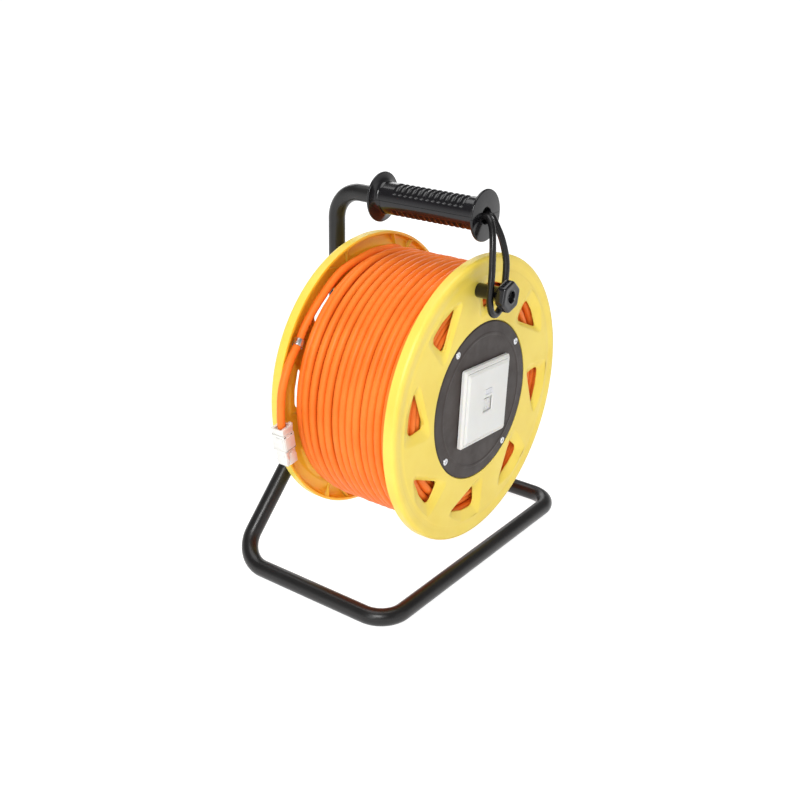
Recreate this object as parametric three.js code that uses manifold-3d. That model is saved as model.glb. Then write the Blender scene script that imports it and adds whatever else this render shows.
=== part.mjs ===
// Portable network cable reel: tube stand, yellow drum, crank knob, panel outlet, 8 mm data cable.
// Millimetres, +Z up, floor at z = 0. The drum turns about Y and its front faces -Y.
import * as THREE from 'three';
import { mergeVertices } from 'three/addons/utils/BufferGeometryUtils.js';
import Module from 'manifold-3d';

const wasm = await Module();
wasm.setup();

// ---------- driving dimensions ----------
const GAP = 0.3;            // air left between pieces that touch
const AXIS_Z = 181.3;       // height of the drum axis

// drum
const FLANGE_R = 144;
const RIM_FRONT = -81.2;    // outer plane of the front rim
const RIM_BACK = 66.3;      // outer plane of the back rim
const FACE_STEP = 2.5;      // flange face behind the rim plane
const WALL = 3;
const RIM_W = 12;           // rolled rim, front to back
const CORE_R = 90.5;
const HOLE_R = 70;          // opening behind the panel
const WINDOWS = 8;
const BACK_TURN = 4.5;      // back flange turned against the front one, degrees
const GUSSET_ANGLE = 11;    // rim gusset past the blunt end of each window, degrees
const MIRROR = RIM_FRONT + RIM_BACK;

// winding and tail
const CABLE_D = 8;
const PACK_R = 131;
const PACK_BACK = 47;

// panel and outlet
const PANEL_R = 79.6;
const PANEL_FRONT = -81.1;
const PANEL_T = 2.9;
const PLATE = 80;
const PLATE_FRONT = -88.6;
const PLATE_TURN = -2.7;    // degrees about the drum axis
const SCREW_R = 74.4;
const SCREW_ANGLE = 37;

// tube stand
const TUBE_R = 8.5;
const FOOT_X = 157.3;
const FOOT_FRONT = -86.6;
const STAND_Y = 101.6;
const APEX_Z = 172;         // where the two leg centrelines would meet
const HANDLE_Z = 363.6;
const BEND_R = 30;

// grip
const GRIP_FRONT = -76;
const GRIP_BACK = 45;
const GRIP_R = 15.5;
const GRIP_END_R = 24.3;

// crank
const KNOB_X = -15;
const KNOB_Z = AXIS_Z + 116;
const KNOB_R = 7;
const HEAD_R = 15;
const HEAD_BACK = -104.3;
const HEAD_FRONT = -117;

// axle
const AXLE_R = 8;
const AXLE_FRONT = -14;
const AXLE_END = 117;

// ---------- helpers ----------
const object = new THREE.Group();
object.name = 'network_cable_reel';

const YELLOW = [0xf0d22e, 0.35, 0];
const ORANGE = [0xf06a1e, 0.5, 0];
const BLACK = [0x1d1c1c, 0.4, 0];
const STEEL = [0xb9bcc0, 0.3, 1];
const WHITE = [0xe6e5e2, 0.4, 0];

function add(name, geometry, [color, roughness, metalness]) {
  const material = new THREE.MeshStandardMaterial({ color, roughness, metalness });
  material.name = name;
  const mesh = new THREE.Mesh(geometry, material);
  mesh.name = name;
  object.add(mesh);
  return mesh;
}

function solid(geometry) {
  const g = geometry.clone();
  g.deleteAttribute('normal');
  g.deleteAttribute('uv');
  const m = mergeVertices(g, 1e-4);
  const mesh = new wasm.Mesh({
    numProp: 3,
    vertProperties: new Float32Array(m.attributes.position.array),
    triVerts: new Uint32Array(m.index.array),
  });
  return new wasm.Manifold(mesh);
}

function geometryOf(manifold) {
  const mesh = manifold.getMesh();
  const g = new THREE.BufferGeometry();
  g.setAttribute('position', new THREE.BufferAttribute(new Float32Array(mesh.vertProperties), 3));
  g.setIndex(new THREE.BufferAttribute(new Uint32Array(mesh.triVerts), 1));
  g.computeVertexNormals();
  return g;
}

function combine(base, added, removed = []) {
  let m = solid(base);
  for (const g of added) m = m.add(solid(g));
  for (const g of removed) m = m.subtract(solid(g));
  return geometryOf(m);
}

// closed profile of [radius, y] points turned about a line along Y
function turned(profile, segments = 32, x = 0, z = AXIS_Z) {
  const points = profile.map(([r, y]) => new THREE.Vector2(r, y));
  if (profile[0][0] > 0) points.push(points[0].clone());
  const area = THREE.ShapeUtils.area(points);
  if (area < 0) points.reverse();
  const g = new THREE.LatheGeometry(points, segments);
  g.translate(x, 0, z);
  return g;
}

function rod(radius, y0, y1, x, z, segments = 20) {
  const g = new THREE.CylinderGeometry(radius, radius, y1 - y0, segments);
  g.translate(x, (y0 + y1) / 2, z);
  return g;
}

function box(x0, x1, y0, y1, z0, z1) {
  const g = new THREE.BoxGeometry(x1 - x0, y1 - y0, z1 - z0);
  g.translate((x0 + x1) / 2, (y0 + y1) / 2, (z0 + z1) / 2);
  return g;
}

// turned about the drum axis, in degrees, anticlockwise seen from the front
function spun(geometry, degrees) {
  geometry.translate(0, 0, -AXIS_Z);
  geometry.rotateY(-THREE.MathUtils.degToRad(degrees));
  geometry.translate(0, 0, AXIS_Z);
  return geometry;
}

function polar(r, degrees) {
  const a = THREE.MathUtils.degToRad(degrees);
  return [r * Math.cos(a), r * Math.sin(a)];
}

// outline with rounded corners; corners are [x, z, radius]
function rounded(corners, steps = 2) {
  const out = [];
  const n = corners.length;
  for (let i = 0; i < n; i += 1) {
    const p = new THREE.Vector2(corners[i][0], corners[i][1]);
    const a = new THREE.Vector2(...corners[(i + n - 1) % n]).sub(p).normalize();
    const b = new THREE.Vector2(...corners[(i + 1) % n]).sub(p).normalize();
    const half = Math.acos(THREE.MathUtils.clamp(a.dot(b), -1, 1)) / 2;
    const cut = corners[i][2] / Math.tan(half);
    const start = p.clone().addScaledVector(a, cut);
    const end = p.clone().addScaledVector(b, cut);
    for (let k = 0; k <= steps; k += 1) {
      const t = k / steps;
      const q = start.clone().multiplyScalar((1 - t) * (1 - t));
      q.addScaledVector(p, 2 * t * (1 - t)).addScaledVector(end, t * t);
      out.push([q.x, q.y]);
    }
  }
  return out;
}

// solid between outline a at ya and outline b at yb, both with as many points
function loft(a, ya, b, yb) {
  const n = a.length;
  const at = [];
  for (const [x, z] of a) at.push(x, ya, z);
  for (const [x, z] of b) at.push(x, yb, z);
  const mid = (o) => o.reduce((s, p) => [s[0] + p[0] / n, s[1] + p[1] / n], [0, 0]);
  const [ca, cb] = [mid(a), mid(b)];
  at.push(ca[0], ya, ca[1], cb[0], yb, cb[1]);
  const index = [];
  for (let i = 0; i < n; i += 1) {
    const j = (i + 1) % n;
    index.push(i, n + i, j, j, n + i, n + j);
    index.push(2 * n, i, j, 2 * n + 1, n + j, n + i);
  }
  const g = new THREE.BufferGeometry();
  g.setAttribute('position', new THREE.Float32BufferAttribute(at, 3));
  const turnedOver = new THREE.Vector3();
  const v = (k) => new THREE.Vector3(at[3 * k], at[3 * k + 1], at[3 * k + 2]);
  turnedOver.crossVectors(v(n).sub(v(0)), v(1).sub(v(0)));
  const outward = v(0).sub(v(2 * n)).dot(turnedOver);
  if (outward < 0) index.reverse();
  g.setIndex(index);
  g.translate(0, 0, AXIS_Z);
  return g.toNonIndexed();
}

// centreline through given stations, so that straight runs take one step each
class Stations extends THREE.Curve {
  constructor(points) {
    super();
    this.points = points;
  }

  getPoint(t, target = new THREE.Vector3()) {
    const u = t * (this.points.length - 1);
    const i = Math.min(Math.floor(u), this.points.length - 2);
    return target.lerpVectors(this.points[i], this.points[i + 1], u - i);
  }

  getPointAt(u, target) {
    return this.getPoint(u, target);
  }

  getTangentAt(u, target = new THREE.Vector3()) {
    const n = this.points.length - 1;
    const i = Math.round(u * n);
    const a = this.points[Math.max(i - 1, 0)];
    const b = this.points[Math.min(i + 1, n)];
    return target.copy(b).sub(a).normalize();
  }
}

// polyline with arcs of given radius at its inner corners
function bent(corners, radii, steps = 8) {
  const out = [corners[0].clone()];
  for (let i = 1; i < corners.length - 1; i += 1) {
    const p = corners[i];
    const a = corners[i - 1].clone().sub(p).normalize();
    const b = corners[i + 1].clone().sub(p).normalize();
    const half = a.angleTo(b) / 2;
    const cut = radii[i - 1] / Math.tan(half);
    const middle = a.clone().add(b).normalize().multiplyScalar(radii[i - 1] / Math.sin(half)).add(p);
    const from = p.clone().addScaledVector(a, cut).sub(middle);
    const to = p.clone().addScaledVector(b, cut).sub(middle);
    const sweep = from.angleTo(to);
    for (let k = 0; k <= steps; k += 1) {
      const t = k / steps;
      const q = from.clone().multiplyScalar(Math.sin((1 - t) * sweep) / Math.sin(sweep));
      q.addScaledVector(to, Math.sin(t * sweep) / Math.sin(sweep));
      out.push(q.add(middle));
    }
  }
  out.push(corners[corners.length - 1].clone());
  return out;
}

function tube(points, radius, sides) {
  const circle = new THREE.Shape();
  for (let i = 0; i < sides; i += 1) {
    const a = (2 * Math.PI * (i + 0.5)) / sides;
    const method = i === 0 ? 'moveTo' : 'lineTo';
    circle[method](radius * Math.cos(a), radius * Math.sin(a));
  }
  return new THREE.ExtrudeGeometry(circle, {
    steps: points.length - 1,
    extrudePath: new Stations(points),
  });
}

const vec = (x, y, z) => new THREE.Vector3(x, y, z);

// ---------- tube stand ----------
const legX = TUBE_R + 0.4;
const legTop = APEX_Z - (legX * (APEX_Z - TUBE_R)) / FOOT_X;
const legPast = vec(-legX + 9, STAND_Y, legTop + (9 * (APEX_Z - TUBE_R)) / FOOT_X);
const footPath = bent(
  [
    legPast,
    vec(-FOOT_X, STAND_Y, TUBE_R),
    vec(-FOOT_X, FOOT_FRONT, TUBE_R),
    vec(FOOT_X, FOOT_FRONT, TUBE_R),
    vec(FOOT_X, STAND_Y, TUBE_R),
    vec(-legPast.x, STAND_Y, legPast.z),
  ],
  [32, 26, 26, 32],
);
const standTube = combine(tube(footPath, TUBE_R, 16), [], [box(-legX, legX, 80, 120, 140, 220)]);
add('stand_tube', standTube, BLACK);

const postPath = bent(
  [vec(0, STAND_Y, 146), vec(0, STAND_Y, HANDLE_Z), vec(0, GRIP_FRONT + 3.5, HANDLE_Z)],
  [BEND_R],
  10,
);
const crossHole = rod(6 + GAP, 80, 120, 0, AXIS_Z, 20);
const mouth = rod(TUBE_R - 1.5, GRIP_FRONT - 5, GRIP_FRONT + 24, 0, HANDLE_Z, 16);
add('handle_tube', combine(tube(postPath, TUBE_R, 16), [], [crossHole, mouth]), BLACK);

const plug = turned([[0, 140], [7.6, 140], [8.3, 141], [8.3, 145.7], [0, 145.7]], 20, 0, 0);
plug.rotateX(Math.PI / 2);
plug.translate(0, STAND_Y, 0);
add('post_plug', plug, BLACK);

// ---------- axle ----------
const plateFront = STAND_Y - TUBE_R - GAP - 3;
const hubPlate = turned([[6 + GAP, plateFront], [38, plateFront], [38, plateFront + 3], [6 + GAP, plateFront + 3]], 40);
add('axle_plate', hubPlate, BLACK);

const axleProfile = [
  [0, AXLE_FRONT],
  [AXLE_R - 1, AXLE_FRONT],
  [AXLE_R, AXLE_FRONT + 1],
  [AXLE_R, AXLE_FRONT + 4],
  [AXLE_R - 1.5, AXLE_FRONT + 4],
  [AXLE_R - 1.5, AXLE_FRONT + 5.6],
  [AXLE_R, AXLE_FRONT + 5.6],
  [AXLE_R, 68.6],
  [13, 68.6],
  [13, plateFront - GAP],
  [6, plateFront - GAP],
  [6, AXLE_END - 0.8],
  [5.2, AXLE_END],
  [0, AXLE_END],
];
add('axle', turned(axleProfile, 28), STEEL);

const clipY = AXLE_FRONT + 4 + 0.2;
const clipRing = turned([[AXLE_R - 1.2, clipY], [12, clipY], [12, clipY + 1.2], [AXLE_R - 1.2, clipY + 1.2]], 28);
const clipMouth = box(-4, 4, clipY - 2, clipY + 4, AXIS_Z - 20, AXIS_Z);
add('axle_clip', combine(clipRing, [], [clipMouth]), STEEL);
add(
  'axle_washer_front',
  turned([[AXLE_R + GAP, clipY + 1.8], [15, clipY + 1.8], [15, clipY + 3.4], [AXLE_R + GAP, clipY + 3.4]], 28),
  STEEL,
);

const nutY = STAND_Y + TUBE_R + GAP;
add('axle_washer_back', turned([[6 + GAP, nutY], [12, nutY], [12, nutY + 1.4], [6 + GAP, nutY + 1.4]], 28), STEEL);
const nutShape = [[6 + GAP, nutY + 1.7], [10.4, nutY + 1.7], [10.4, nutY + 5.6], [9.4, nutY + 6.4], [6 + GAP, nutY + 6.4]];
const nutBore = rod(6 + GAP, nutY, nutY + 8, 0, AXIS_Z, 24);
const nutBlank = turned([[0, nutShape[0][1]], ...nutShape.slice(1, 4), [0, nutShape[4][1]]], 6);
add('axle_nut', combine(nutBlank, [], [nutBore]), STEEL);

// ---------- grip ----------
function gripHalf(side) {
  const y0 = GRIP_FRONT;
  const y1 = GRIP_BACK;
  const profile = [
    [0, y0],
    [GRIP_END_R - 1, y0],
    [GRIP_END_R, y0 + 1],
    [GRIP_END_R, y0 + 2.2],
    [GRIP_R + 2, y0 + 3.4],
    [GRIP_R, y0 + 6],
    [GRIP_R, y1 - 6],
    [GRIP_R + 2, y1 - 3.4],
    [GRIP_END_R, y1 - 2.2],
    [GRIP_END_R, y1 - 1],
    [GRIP_END_R - 1, y1],
    [0, y1],
  ];
  const body = turned(profile, 24, 0, HANDLE_Z);
  const grooves = [];
  const grooved = 76;
  for (let i = 0; i < 8; i += 1) {
    const y = y0 + 26 + (grooved * i) / 7;
    const ring = turned(
      [[GRIP_R - 1.6, y - 1], [GRIP_R + 4, y - 2.6], [GRIP_R + 4, y + 2.6], [GRIP_R - 1.6, y + 1]],
      24,
      0,
      HANDLE_Z,
    );
    grooves.push(ring);
  }
  const band = box(-12, 12, y0 + 18, y0 + 110, HANDLE_Z + side * 16 - 10, HANDLE_Z + side * 16 + 10);
  let cut = solid(grooves[0]);
  for (const g of grooves.slice(1)) cut = cut.add(solid(g));
  cut = cut.intersect(solid(band));
  const other = side > 0
    ? box(-40, 40, y0 - 5, y1 + 5, HANDLE_Z - 40, HANDLE_Z + GAP / 2)
    : box(-40, 40, y0 - 5, y1 + 5, HANDLE_Z - GAP / 2, HANDLE_Z + 40);
  const bore = rod(TUBE_R + GAP, y0 + 3.2, y1 + 5, 0, HANDLE_Z, 20);
  const cordHole = turned(
    [[0, y0 - 1], [8.2, y0 - 1], [7.4, y0 + 1], [7.4, y0 + 5], [0, y0 + 5]],
    20,
    0,
    HANDLE_Z,
  );
  let m = solid(body).subtract(cut).subtract(solid(bore)).subtract(solid(cordHole));
  m = m.subtract(solid(other));
  return m;
}

const gripScrewY = [GRIP_FRONT + 15, GRIP_BACK - 15];
let lower = gripHalf(-1);
for (const y of gripScrewY) {
  const pocket = new THREE.CylinderGeometry(3.4, 3.4, 10, 16);
  pocket.rotateX(Math.PI / 2);
  pocket.translate(0, y, HANDLE_Z - GRIP_R - 2.6);
  lower = lower.subtract(solid(pocket));
}
add('grip_upper', geometryOf(gripHalf(1)), BLACK);
add('grip_lower', geometryOf(lower), BLACK);

gripScrewY.forEach((y, i) => {
  const z = HANDLE_Z - GRIP_R + 2.1;
  const head = turned([[0, 0], [2.6, 0], [3, -0.5], [3, -1.6], [2, -2.4], [0, -2.4]], 16, 0, 0);
  head.rotateX(Math.PI / 2);
  head.translate(0, y, z);
  add(`grip_screw_${i + 1}`, head, STEEL);
});

// ---------- flanges ----------
// one window, as seen from the front, with its tip pointing clockwise
const windowOutline = rounded([
  [...polar(93, -1), 4],
  [...polar(117.5, 0.5), 7],
  [...polar(116.8, -10), 2],
  [...polar(115.2, -19.6), 1],
]);
const recessOutline = rounded([
  [...polar(86, 8), 8],
  [...polar(130, 2.5), 10],
  [...polar(127, -12), 4],
  [...polar(119.5, -26), 5],
]);
const bossOutline = rounded([
  [...polar(91.4, 2.5), 4],
  [...polar(123.5, 3.2), 9],
  [...polar(122.5, -10), 3],
  [...polar(120, -23.5), 3],
]);
const collarOutline = rounded([
  [...polar(91.6, 0.8), 4],
  [...polar(120.5, 1.6), 8],
  [...polar(119.6, -10), 3],
  [...polar(117.5, -21.5), 2],
]);

const face = RIM_FRONT + FACE_STEP;
const inner = face + WALL;
const lip = RIM_FRONT + RIM_W;
const rimProfile = [
  [127, face],
  [135.5, RIM_FRONT + 0.3],
  [140, RIM_FRONT],
  [143, RIM_FRONT + 1.3],
  [FLANGE_R, RIM_FRONT + 3.8],
  [FLANGE_R, lip - 0.6],
  [FLANGE_R - 0.6, lip],
  [141, lip],
  [141, RIM_FRONT + 4.4],
  [137, RIM_FRONT + 3.2],
  [128, inner],
];

const mirrored = (outline) => outline.map(([x, z]) => [-x, z]).reverse();

// a flange with its outside towards -Y; the back one has mirrored windows and is then turned about Z
function flange(centre, extra, holes, gussetAngle, shape = (outline) => outline, first = 0) {
  let m = solid(turned([...centre, ...rimProfile], 40));
  for (let k = 0; k < WINDOWS; k += 1) {
    const turn = first + (360 / WINDOWS) * k;
    const boss = spun(loft(shape(bossOutline), inner - 0.5, shape(collarOutline), inner + 2.8), turn);
    m = m.add(solid(boss));
  }
  for (let k = 0; k < WINDOWS; k += 1) {
    const turn = first + (360 / WINDOWS) * k;
    const window = shape(windowOutline);
    const funnel = spun(loft(shape(recessOutline), face - 0.02, window, face + 3.2), turn);
    const through = spun(loft(window, face + 3, window, inner + 5), turn);
    m = m.subtract(solid(funnel)).subtract(solid(through));
  }
  for (let k = 0; k < WINDOWS; k += 1) {
    const gusset = box(135.5, 141.5, RIM_FRONT + 3.6, lip - 2, AXIS_Z - 0.8, AXIS_Z + 0.8);
    m = m.add(solid(spun(gusset, (360 / WINDOWS) * k + gussetAngle)));
  }
  for (const g of extra) m = m.add(solid(g));
  for (const g of holes) m = m.subtract(solid(g));
  return m;
}

function around(count, radius, first, make) {
  const out = [];
  for (let k = 0; k < count; k += 1) {
    const [x, z] = polar(radius, first + (360 / count) * k);
    out.push(make(x, AXIS_Z + z, k));
  }
  return out;
}

const ledge = PANEL_FRONT + PANEL_T + GAP;
const frontProfile = [
  [HOLE_R, inner],
  [HOLE_R, ledge],
  [80.4, ledge],
  [80.4, face],
];
const knobBoss = turned(
  [[0, face - 0.9], [9.5, face - 0.9], [10.5, face - 0.3], [10.5, inner + 3], [0, inner + 3]],
  24,
  KNOB_X,
  KNOB_Z,
);
const screwBosses = around(4, SCREW_R, SCREW_ANGLE, (x, z) => rod(4.3, ledge + 0.5, inner + 9, x, z, 16));
const screwBores = around(4, SCREW_R, SCREW_ANGLE, (x, z) => rod(1.9, ledge - 2, inner + 7, x, z, 12));
const TIE_R = 78.5;
const TIE_ANGLE = 82;
const tieBosses = around(4, TIE_R, TIE_ANGLE, (x, z) => rod(6, inner - 0.5, inner + 14, x, z, 16));
const tieBores = around(4, TIE_R, TIE_ANGLE, (x, z) => rod(2.8, inner + 1, inner + 16, x, z, 12));
const front = flange(
  frontProfile,
  [knobBoss, ...screwBosses, ...tieBosses],
  [...screwBores, ...tieBores, rod(4 + GAP, face - 5, inner + 5, KNOB_X, KNOB_Z, 16)],
  GUSSET_ANGLE,
);
add('front_flange', geometryOf(front), YELLOW);

// back flange, built facing -Y and then turned about Z to face +Y
const back0 = (y) => MIRROR - y;
const bossBore = 11;
const backBoss = turned([[bossBore, inner - 1], [17, inner - 1], [16, inner + 44], [bossBore, inner + 44]], 32);
const webRibs = [];
for (let k = 0; k < 6; k += 1) {
  const rib = loft(
    [[15, -1.2], [76, -1.2], [76, 1.2], [15, 1.2]],
    inner - 0.5,
    [[15, -1.2], [20, -1.2], [20, 1.2], [15, 1.2]],
    inner + 40,
  );
  webRibs.push(spun(rib, 60 * k));
}
const tieSeats = around(4, TIE_R, 180 - TIE_ANGLE, (x, z) => rod(7, inner - 0.5, inner + 4, x, z, 16));
const tieHoles = around(4, TIE_R, 180 - TIE_ANGLE, (x, z) => rod(2.8, face - 5, inner + 8, x, z, 12));
const tieSinks = around(4, TIE_R, 180 - TIE_ANGLE, (x, z) => rod(5.2, face - 5, face + 1.4, x, z, 16));
const clipAngle = 152.4;
const backProfile = [[bossBore, inner], [bossBore, face - 0.6], [17, face - 0.6], [18, face]];
const back = flange(
  backProfile,
  [backBoss, ...webRibs, ...tieSeats],
  [...tieHoles, ...tieSinks],
  180 - BACK_TURN - GUSSET_ANGLE,
  mirrored,
  -BACK_TURN,
);
const backGeometry = geometryOf(back);
backGeometry.rotateZ(Math.PI);
backGeometry.translate(0, MIRROR, 0);
const [clipScrewX, clipScrewZ] = polar(119.8, clipAngle);
const clipScrewHole = rod(1.5, 50, 62.4, clipScrewX, AXIS_Z + clipScrewZ, 12);
const clipBoss = rod(4.2, 59.6, 62.5, clipScrewX, AXIS_Z + clipScrewZ, 16);
add('back_flange', combine(backGeometry, [clipBoss], [clipScrewHole]), YELLOW);

// core tube and the parts that hold the drum together
const coreFront = inner + GAP;
const coreBack = back0(inner) - GAP;
const coreProfile = [
  [CORE_R - 3, coreFront],
  [CORE_R, coreFront],
  [CORE_R, coreBack],
  [CORE_R - 3, coreBack],
];
add('drum_core', turned(coreProfile, 40), YELLOW);

around(4, TIE_R, TIE_ANGLE, (x, z, k) => {
  const headTop = back0(face + 1.4) - GAP;
  const profile = [
    [0, inner + 3],
    [2.4, inner + 3],
    [2.4, headTop + 0.5],
    [4.8, headTop + 0.5],
    [4.8, headTop + 2.2],
    [3.6, headTop + 3.4],
    [0, headTop + 3.4],
  ];
  add(`tie_screw_${k + 1}`, turned(profile, 16, x, z), STEEL);
});

const bushBack = back0(face - 0.6);
for (const [name, y] of [['bush_front', back0(inner + 44)], ['bush_back', bushBack - 12]]) {
  const flangeOut = name === 'bush_back' ? 1 : -1;
  const start = flangeOut > 0 ? y : y + 12;
  const outer = flangeOut > 0 ? bushBack : back0(inner + 44);
  add(
    name,
    turned(
      [
        [AXLE_R + GAP, start],
        [bossBore - GAP, start],
        [bossBore - GAP, outer + flangeOut * GAP],
        [14.5, outer + flangeOut * GAP],
        [14.5, outer + flangeOut * (GAP + 1.2)],
        [AXLE_R + GAP, outer + flangeOut * (GAP + 1.2)],
      ],
      28,
    ),
    BLACK,
  );
}

// ---------- panel ----------
const panelBlank = turned(
  [
    [0, PANEL_FRONT],
    [66, PANEL_FRONT],
    [66.8, PANEL_FRONT - 0.5],
    [68.2, PANEL_FRONT - 0.5],
    [69, PANEL_FRONT],
    [PANEL_R - 1, PANEL_FRONT],
    [PANEL_R, PANEL_FRONT + 0.9],
    [PANEL_R, PANEL_FRONT + PANEL_T],
    [0, PANEL_FRONT + PANEL_T],
  ],
  36,
);
const panelCuts = [spun(box(-27, 27, PANEL_FRONT - 5, PANEL_FRONT + 6, AXIS_Z - 27, AXIS_Z + 27), PLATE_TURN)];
panelCuts.push(...around(4, SCREW_R, SCREW_ANGLE, (x, z) => turned(
  [
    [0, PANEL_FRONT - 1],
    [3.9, PANEL_FRONT - 1],
    [3.9, PANEL_FRONT + 0.2],
    [2.1, PANEL_FRONT + 2],
    [2.1, PANEL_FRONT + 4],
    [0, PANEL_FRONT + 4],
  ],
  16,
  x,
  z,
)));
add('socket_panel', combine(panelBlank, [], panelCuts), BLACK);

around(4, SCREW_R, SCREW_ANGLE, (x, z, k) => {
  const profile = [
    [0, PANEL_FRONT - 0.5],
    [2.4, PANEL_FRONT - 0.4],
    [3.6, PANEL_FRONT + 0.05],
    [3.6, PANEL_FRONT + 0.2],
    [1.6, PANEL_FRONT + 2.1],
    [1.6, PANEL_FRONT + 11],
    [0, PANEL_FRONT + 12],
  ];
  const socket = new THREE.CylinderGeometry(1.5, 1.2, 1.6, 6);
  socket.translate(x, PANEL_FRONT, z);
  add(`panel_screw_${k + 1}`, combine(turned(profile, 16, x, z), [], [socket]), STEEL);
});

// ---------- outlet ----------
// square outline centred on the axis
const square = (half, corner) => rounded(
  [[-half, -half, corner], [half, -half, corner], [half, half, corner], [-half, half, corner]],
  2,
);
const HALF = PLATE / 2;
const COVER_HALF = 36.2;
const frameBase = PANEL_FRONT - 0.5 - GAP;
const frameStep = frameBase - 3.2;
const frameTop = frameBase - 4.8;
let outletFrame = solid(loft(square(HALF, 3), frameStep, square(HALF, 3), frameBase));
outletFrame = outletFrame.add(solid(loft(square(HALF - 2, 2.4), frameTop, square(HALF, 3), frameStep)));
outletFrame = outletFrame.subtract(solid(loft(
  square(COVER_HALF + GAP, 1.5),
  frameTop - 2,
  square(COVER_HALF + GAP, 1.5),
  frameBase + 2,
)));
add('outlet_frame', spun(geometryOf(outletFrame), PLATE_TURN), WHITE);

const PORT_W = 14.6;
const PORT_H = 14;
const PORT_Z = AXIS_Z - 2;
const LABEL_Z = AXIS_Z + 11.5;
const coverEdge = frameTop - 0.2;
let cover = solid(loft(square(COVER_HALF, 1.5), coverEdge, square(COVER_HALF, 1.5), frameBase));
cover = cover.add(solid(loft(square(COVER_HALF - 2.2, 2), PLATE_FRONT, square(COVER_HALF, 1.5), coverEdge)));
cover = cover.subtract(solid(box(
  -COVER_HALF + 3,
  COVER_HALF - 3,
  PLATE_FRONT + 1.8,
  frameBase + 1,
  AXIS_Z - COVER_HALF + 3,
  AXIS_Z + COVER_HALF - 3,
)));
cover = cover.subtract(solid(loft(
  [[-PORT_W / 2 - 1, -PORT_H / 2 - 3], [PORT_W / 2 + 1, -PORT_H / 2 - 3], [PORT_W / 2 + 1, PORT_H / 2 - 1], [-PORT_W / 2 - 1, PORT_H / 2 - 1]],
  PLATE_FRONT - 0.5,
  [[-PORT_W / 2, -PORT_H / 2 - 2], [PORT_W / 2, -PORT_H / 2 - 2], [PORT_W / 2, PORT_H / 2 - 2], [-PORT_W / 2, PORT_H / 2 - 2]],
  PLATE_FRONT + 3,
)));
cover = cover.subtract(solid(box(-6, 6, PLATE_FRONT - 1, PLATE_FRONT + 0.8, LABEL_Z - 3, LABEL_Z + 3)));
add('outlet_cover', spun(geometryOf(cover), PLATE_TURN), WHITE);
add(
  'label_field',
  spun(box(-5.7, 5.7, PLATE_FRONT + 0.1, PLATE_FRONT + 0.5, LABEL_Z - 2.7, LABEL_Z + 2.7), PLATE_TURN),
  WHITE,
);

const shutterFront = PLATE_FRONT + 2.1;
const shutterTop = PORT_Z + PORT_H / 2 + 1;
let shutter = solid(box(-9, 9, shutterFront, shutterFront + 1, shutterTop - 17, shutterTop));
shutter = shutter.add(solid(box(-4, 4, shutterFront - 1, shutterFront + 0.5, shutterTop - 3, shutterTop - 2)));
add('port_shutter', spun(geometryOf(shutter), PLATE_TURN), WHITE);

const moduleFront = shutterFront + 1.3;
let module = solid(box(-9, 9, moduleFront, moduleFront + 26, PORT_Z - 10, PORT_Z + 10));
module = module.subtract(solid(box(-6, 6, moduleFront - 1, moduleFront + 14, PORT_Z - 4, PORT_Z + 4)));
module = module.subtract(solid(box(-3.2, 3.2, moduleFront - 1, moduleFront + 12, PORT_Z - 7, PORT_Z)));
add('rj45_module', spun(geometryOf(module), PLATE_TURN), STEEL);

const holderY = PANEL_FRONT + PANEL_T + GAP;
let holder = solid(box(-35, 35, holderY, holderY + 1.5, AXIS_Z - 35, AXIS_Z + 35));
holder = holder.subtract(solid(box(-9.3, 9.3, holderY - 1, holderY + 3, PORT_Z - 10.3, PORT_Z + 10.3)));
add('module_holder', spun(geometryOf(holder), PLATE_TURN), STEEL);

// ---------- crank ----------
const spindle = [
  [0, HEAD_FRONT + 5],
  [4.2, HEAD_FRONT + 5],
  [5, HEAD_FRONT + 5.8],
  [5, HEAD_FRONT + 8],
  [3.9, HEAD_FRONT + 8],
  [3.9, inner + 2.7],
  [0, inner + 2.7],
];
add('crank_spindle', turned(spindle, 20, KNOB_X, KNOB_Z), STEEL);

const sleeveBack = face - 0.9 - GAP;
const sleeve = turned(
  [[0, sleeveBack], [KNOB_R - 0.6, sleeveBack], [KNOB_R, sleeveBack - 0.8], [KNOB_R, HEAD_BACK - 1], [0, HEAD_BACK - 1]],
  24,
  KNOB_X,
  KNOB_Z,
);
const head = turned(
  [
    [0, HEAD_BACK],
    [9.2, HEAD_BACK],
    [HEAD_R - 0.4, HEAD_BACK - 3.6],
    [HEAD_R, HEAD_BACK - 4.4],
    [HEAD_R, HEAD_FRONT + 1.6],
    [HEAD_R - 1.3, HEAD_FRONT],
    [0, HEAD_FRONT],
  ],
  6,
  0,
  0,
);
head.rotateY(THREE.MathUtils.degToRad(12));
head.translate(KNOB_X, 0, KNOB_Z);
const headHole = rod(5.6, HEAD_FRONT - 2, HEAD_FRONT + 8 + GAP, KNOB_X, KNOB_Z, 24);
const shaftHole = rod(3.9 + GAP, HEAD_FRONT, sleeveBack + 2, KNOB_X, KNOB_Z, 20);
add('crank_knob', combine(sleeve, [head], [headHole, shaftHole]), BLACK);

// ---------- cable ----------
const packFront = inner + 2.8 + GAP;
const packProfile = [
  [CORE_R + GAP, packFront],
  [PACK_R - 3, packFront],
  [PACK_R, packFront + 3],
  [PACK_R, PACK_BACK - 3],
  [PACK_R - 3, PACK_BACK],
  [CORE_R + GAP, PACK_BACK],
];
add('cable_pack', turned(packProfile, 56), ORANGE);

function onDrum(degrees, r, y) {
  const [x, z] = polar(r, degrees);
  return vec(x, y, AXIS_Z + z);
}

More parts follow.
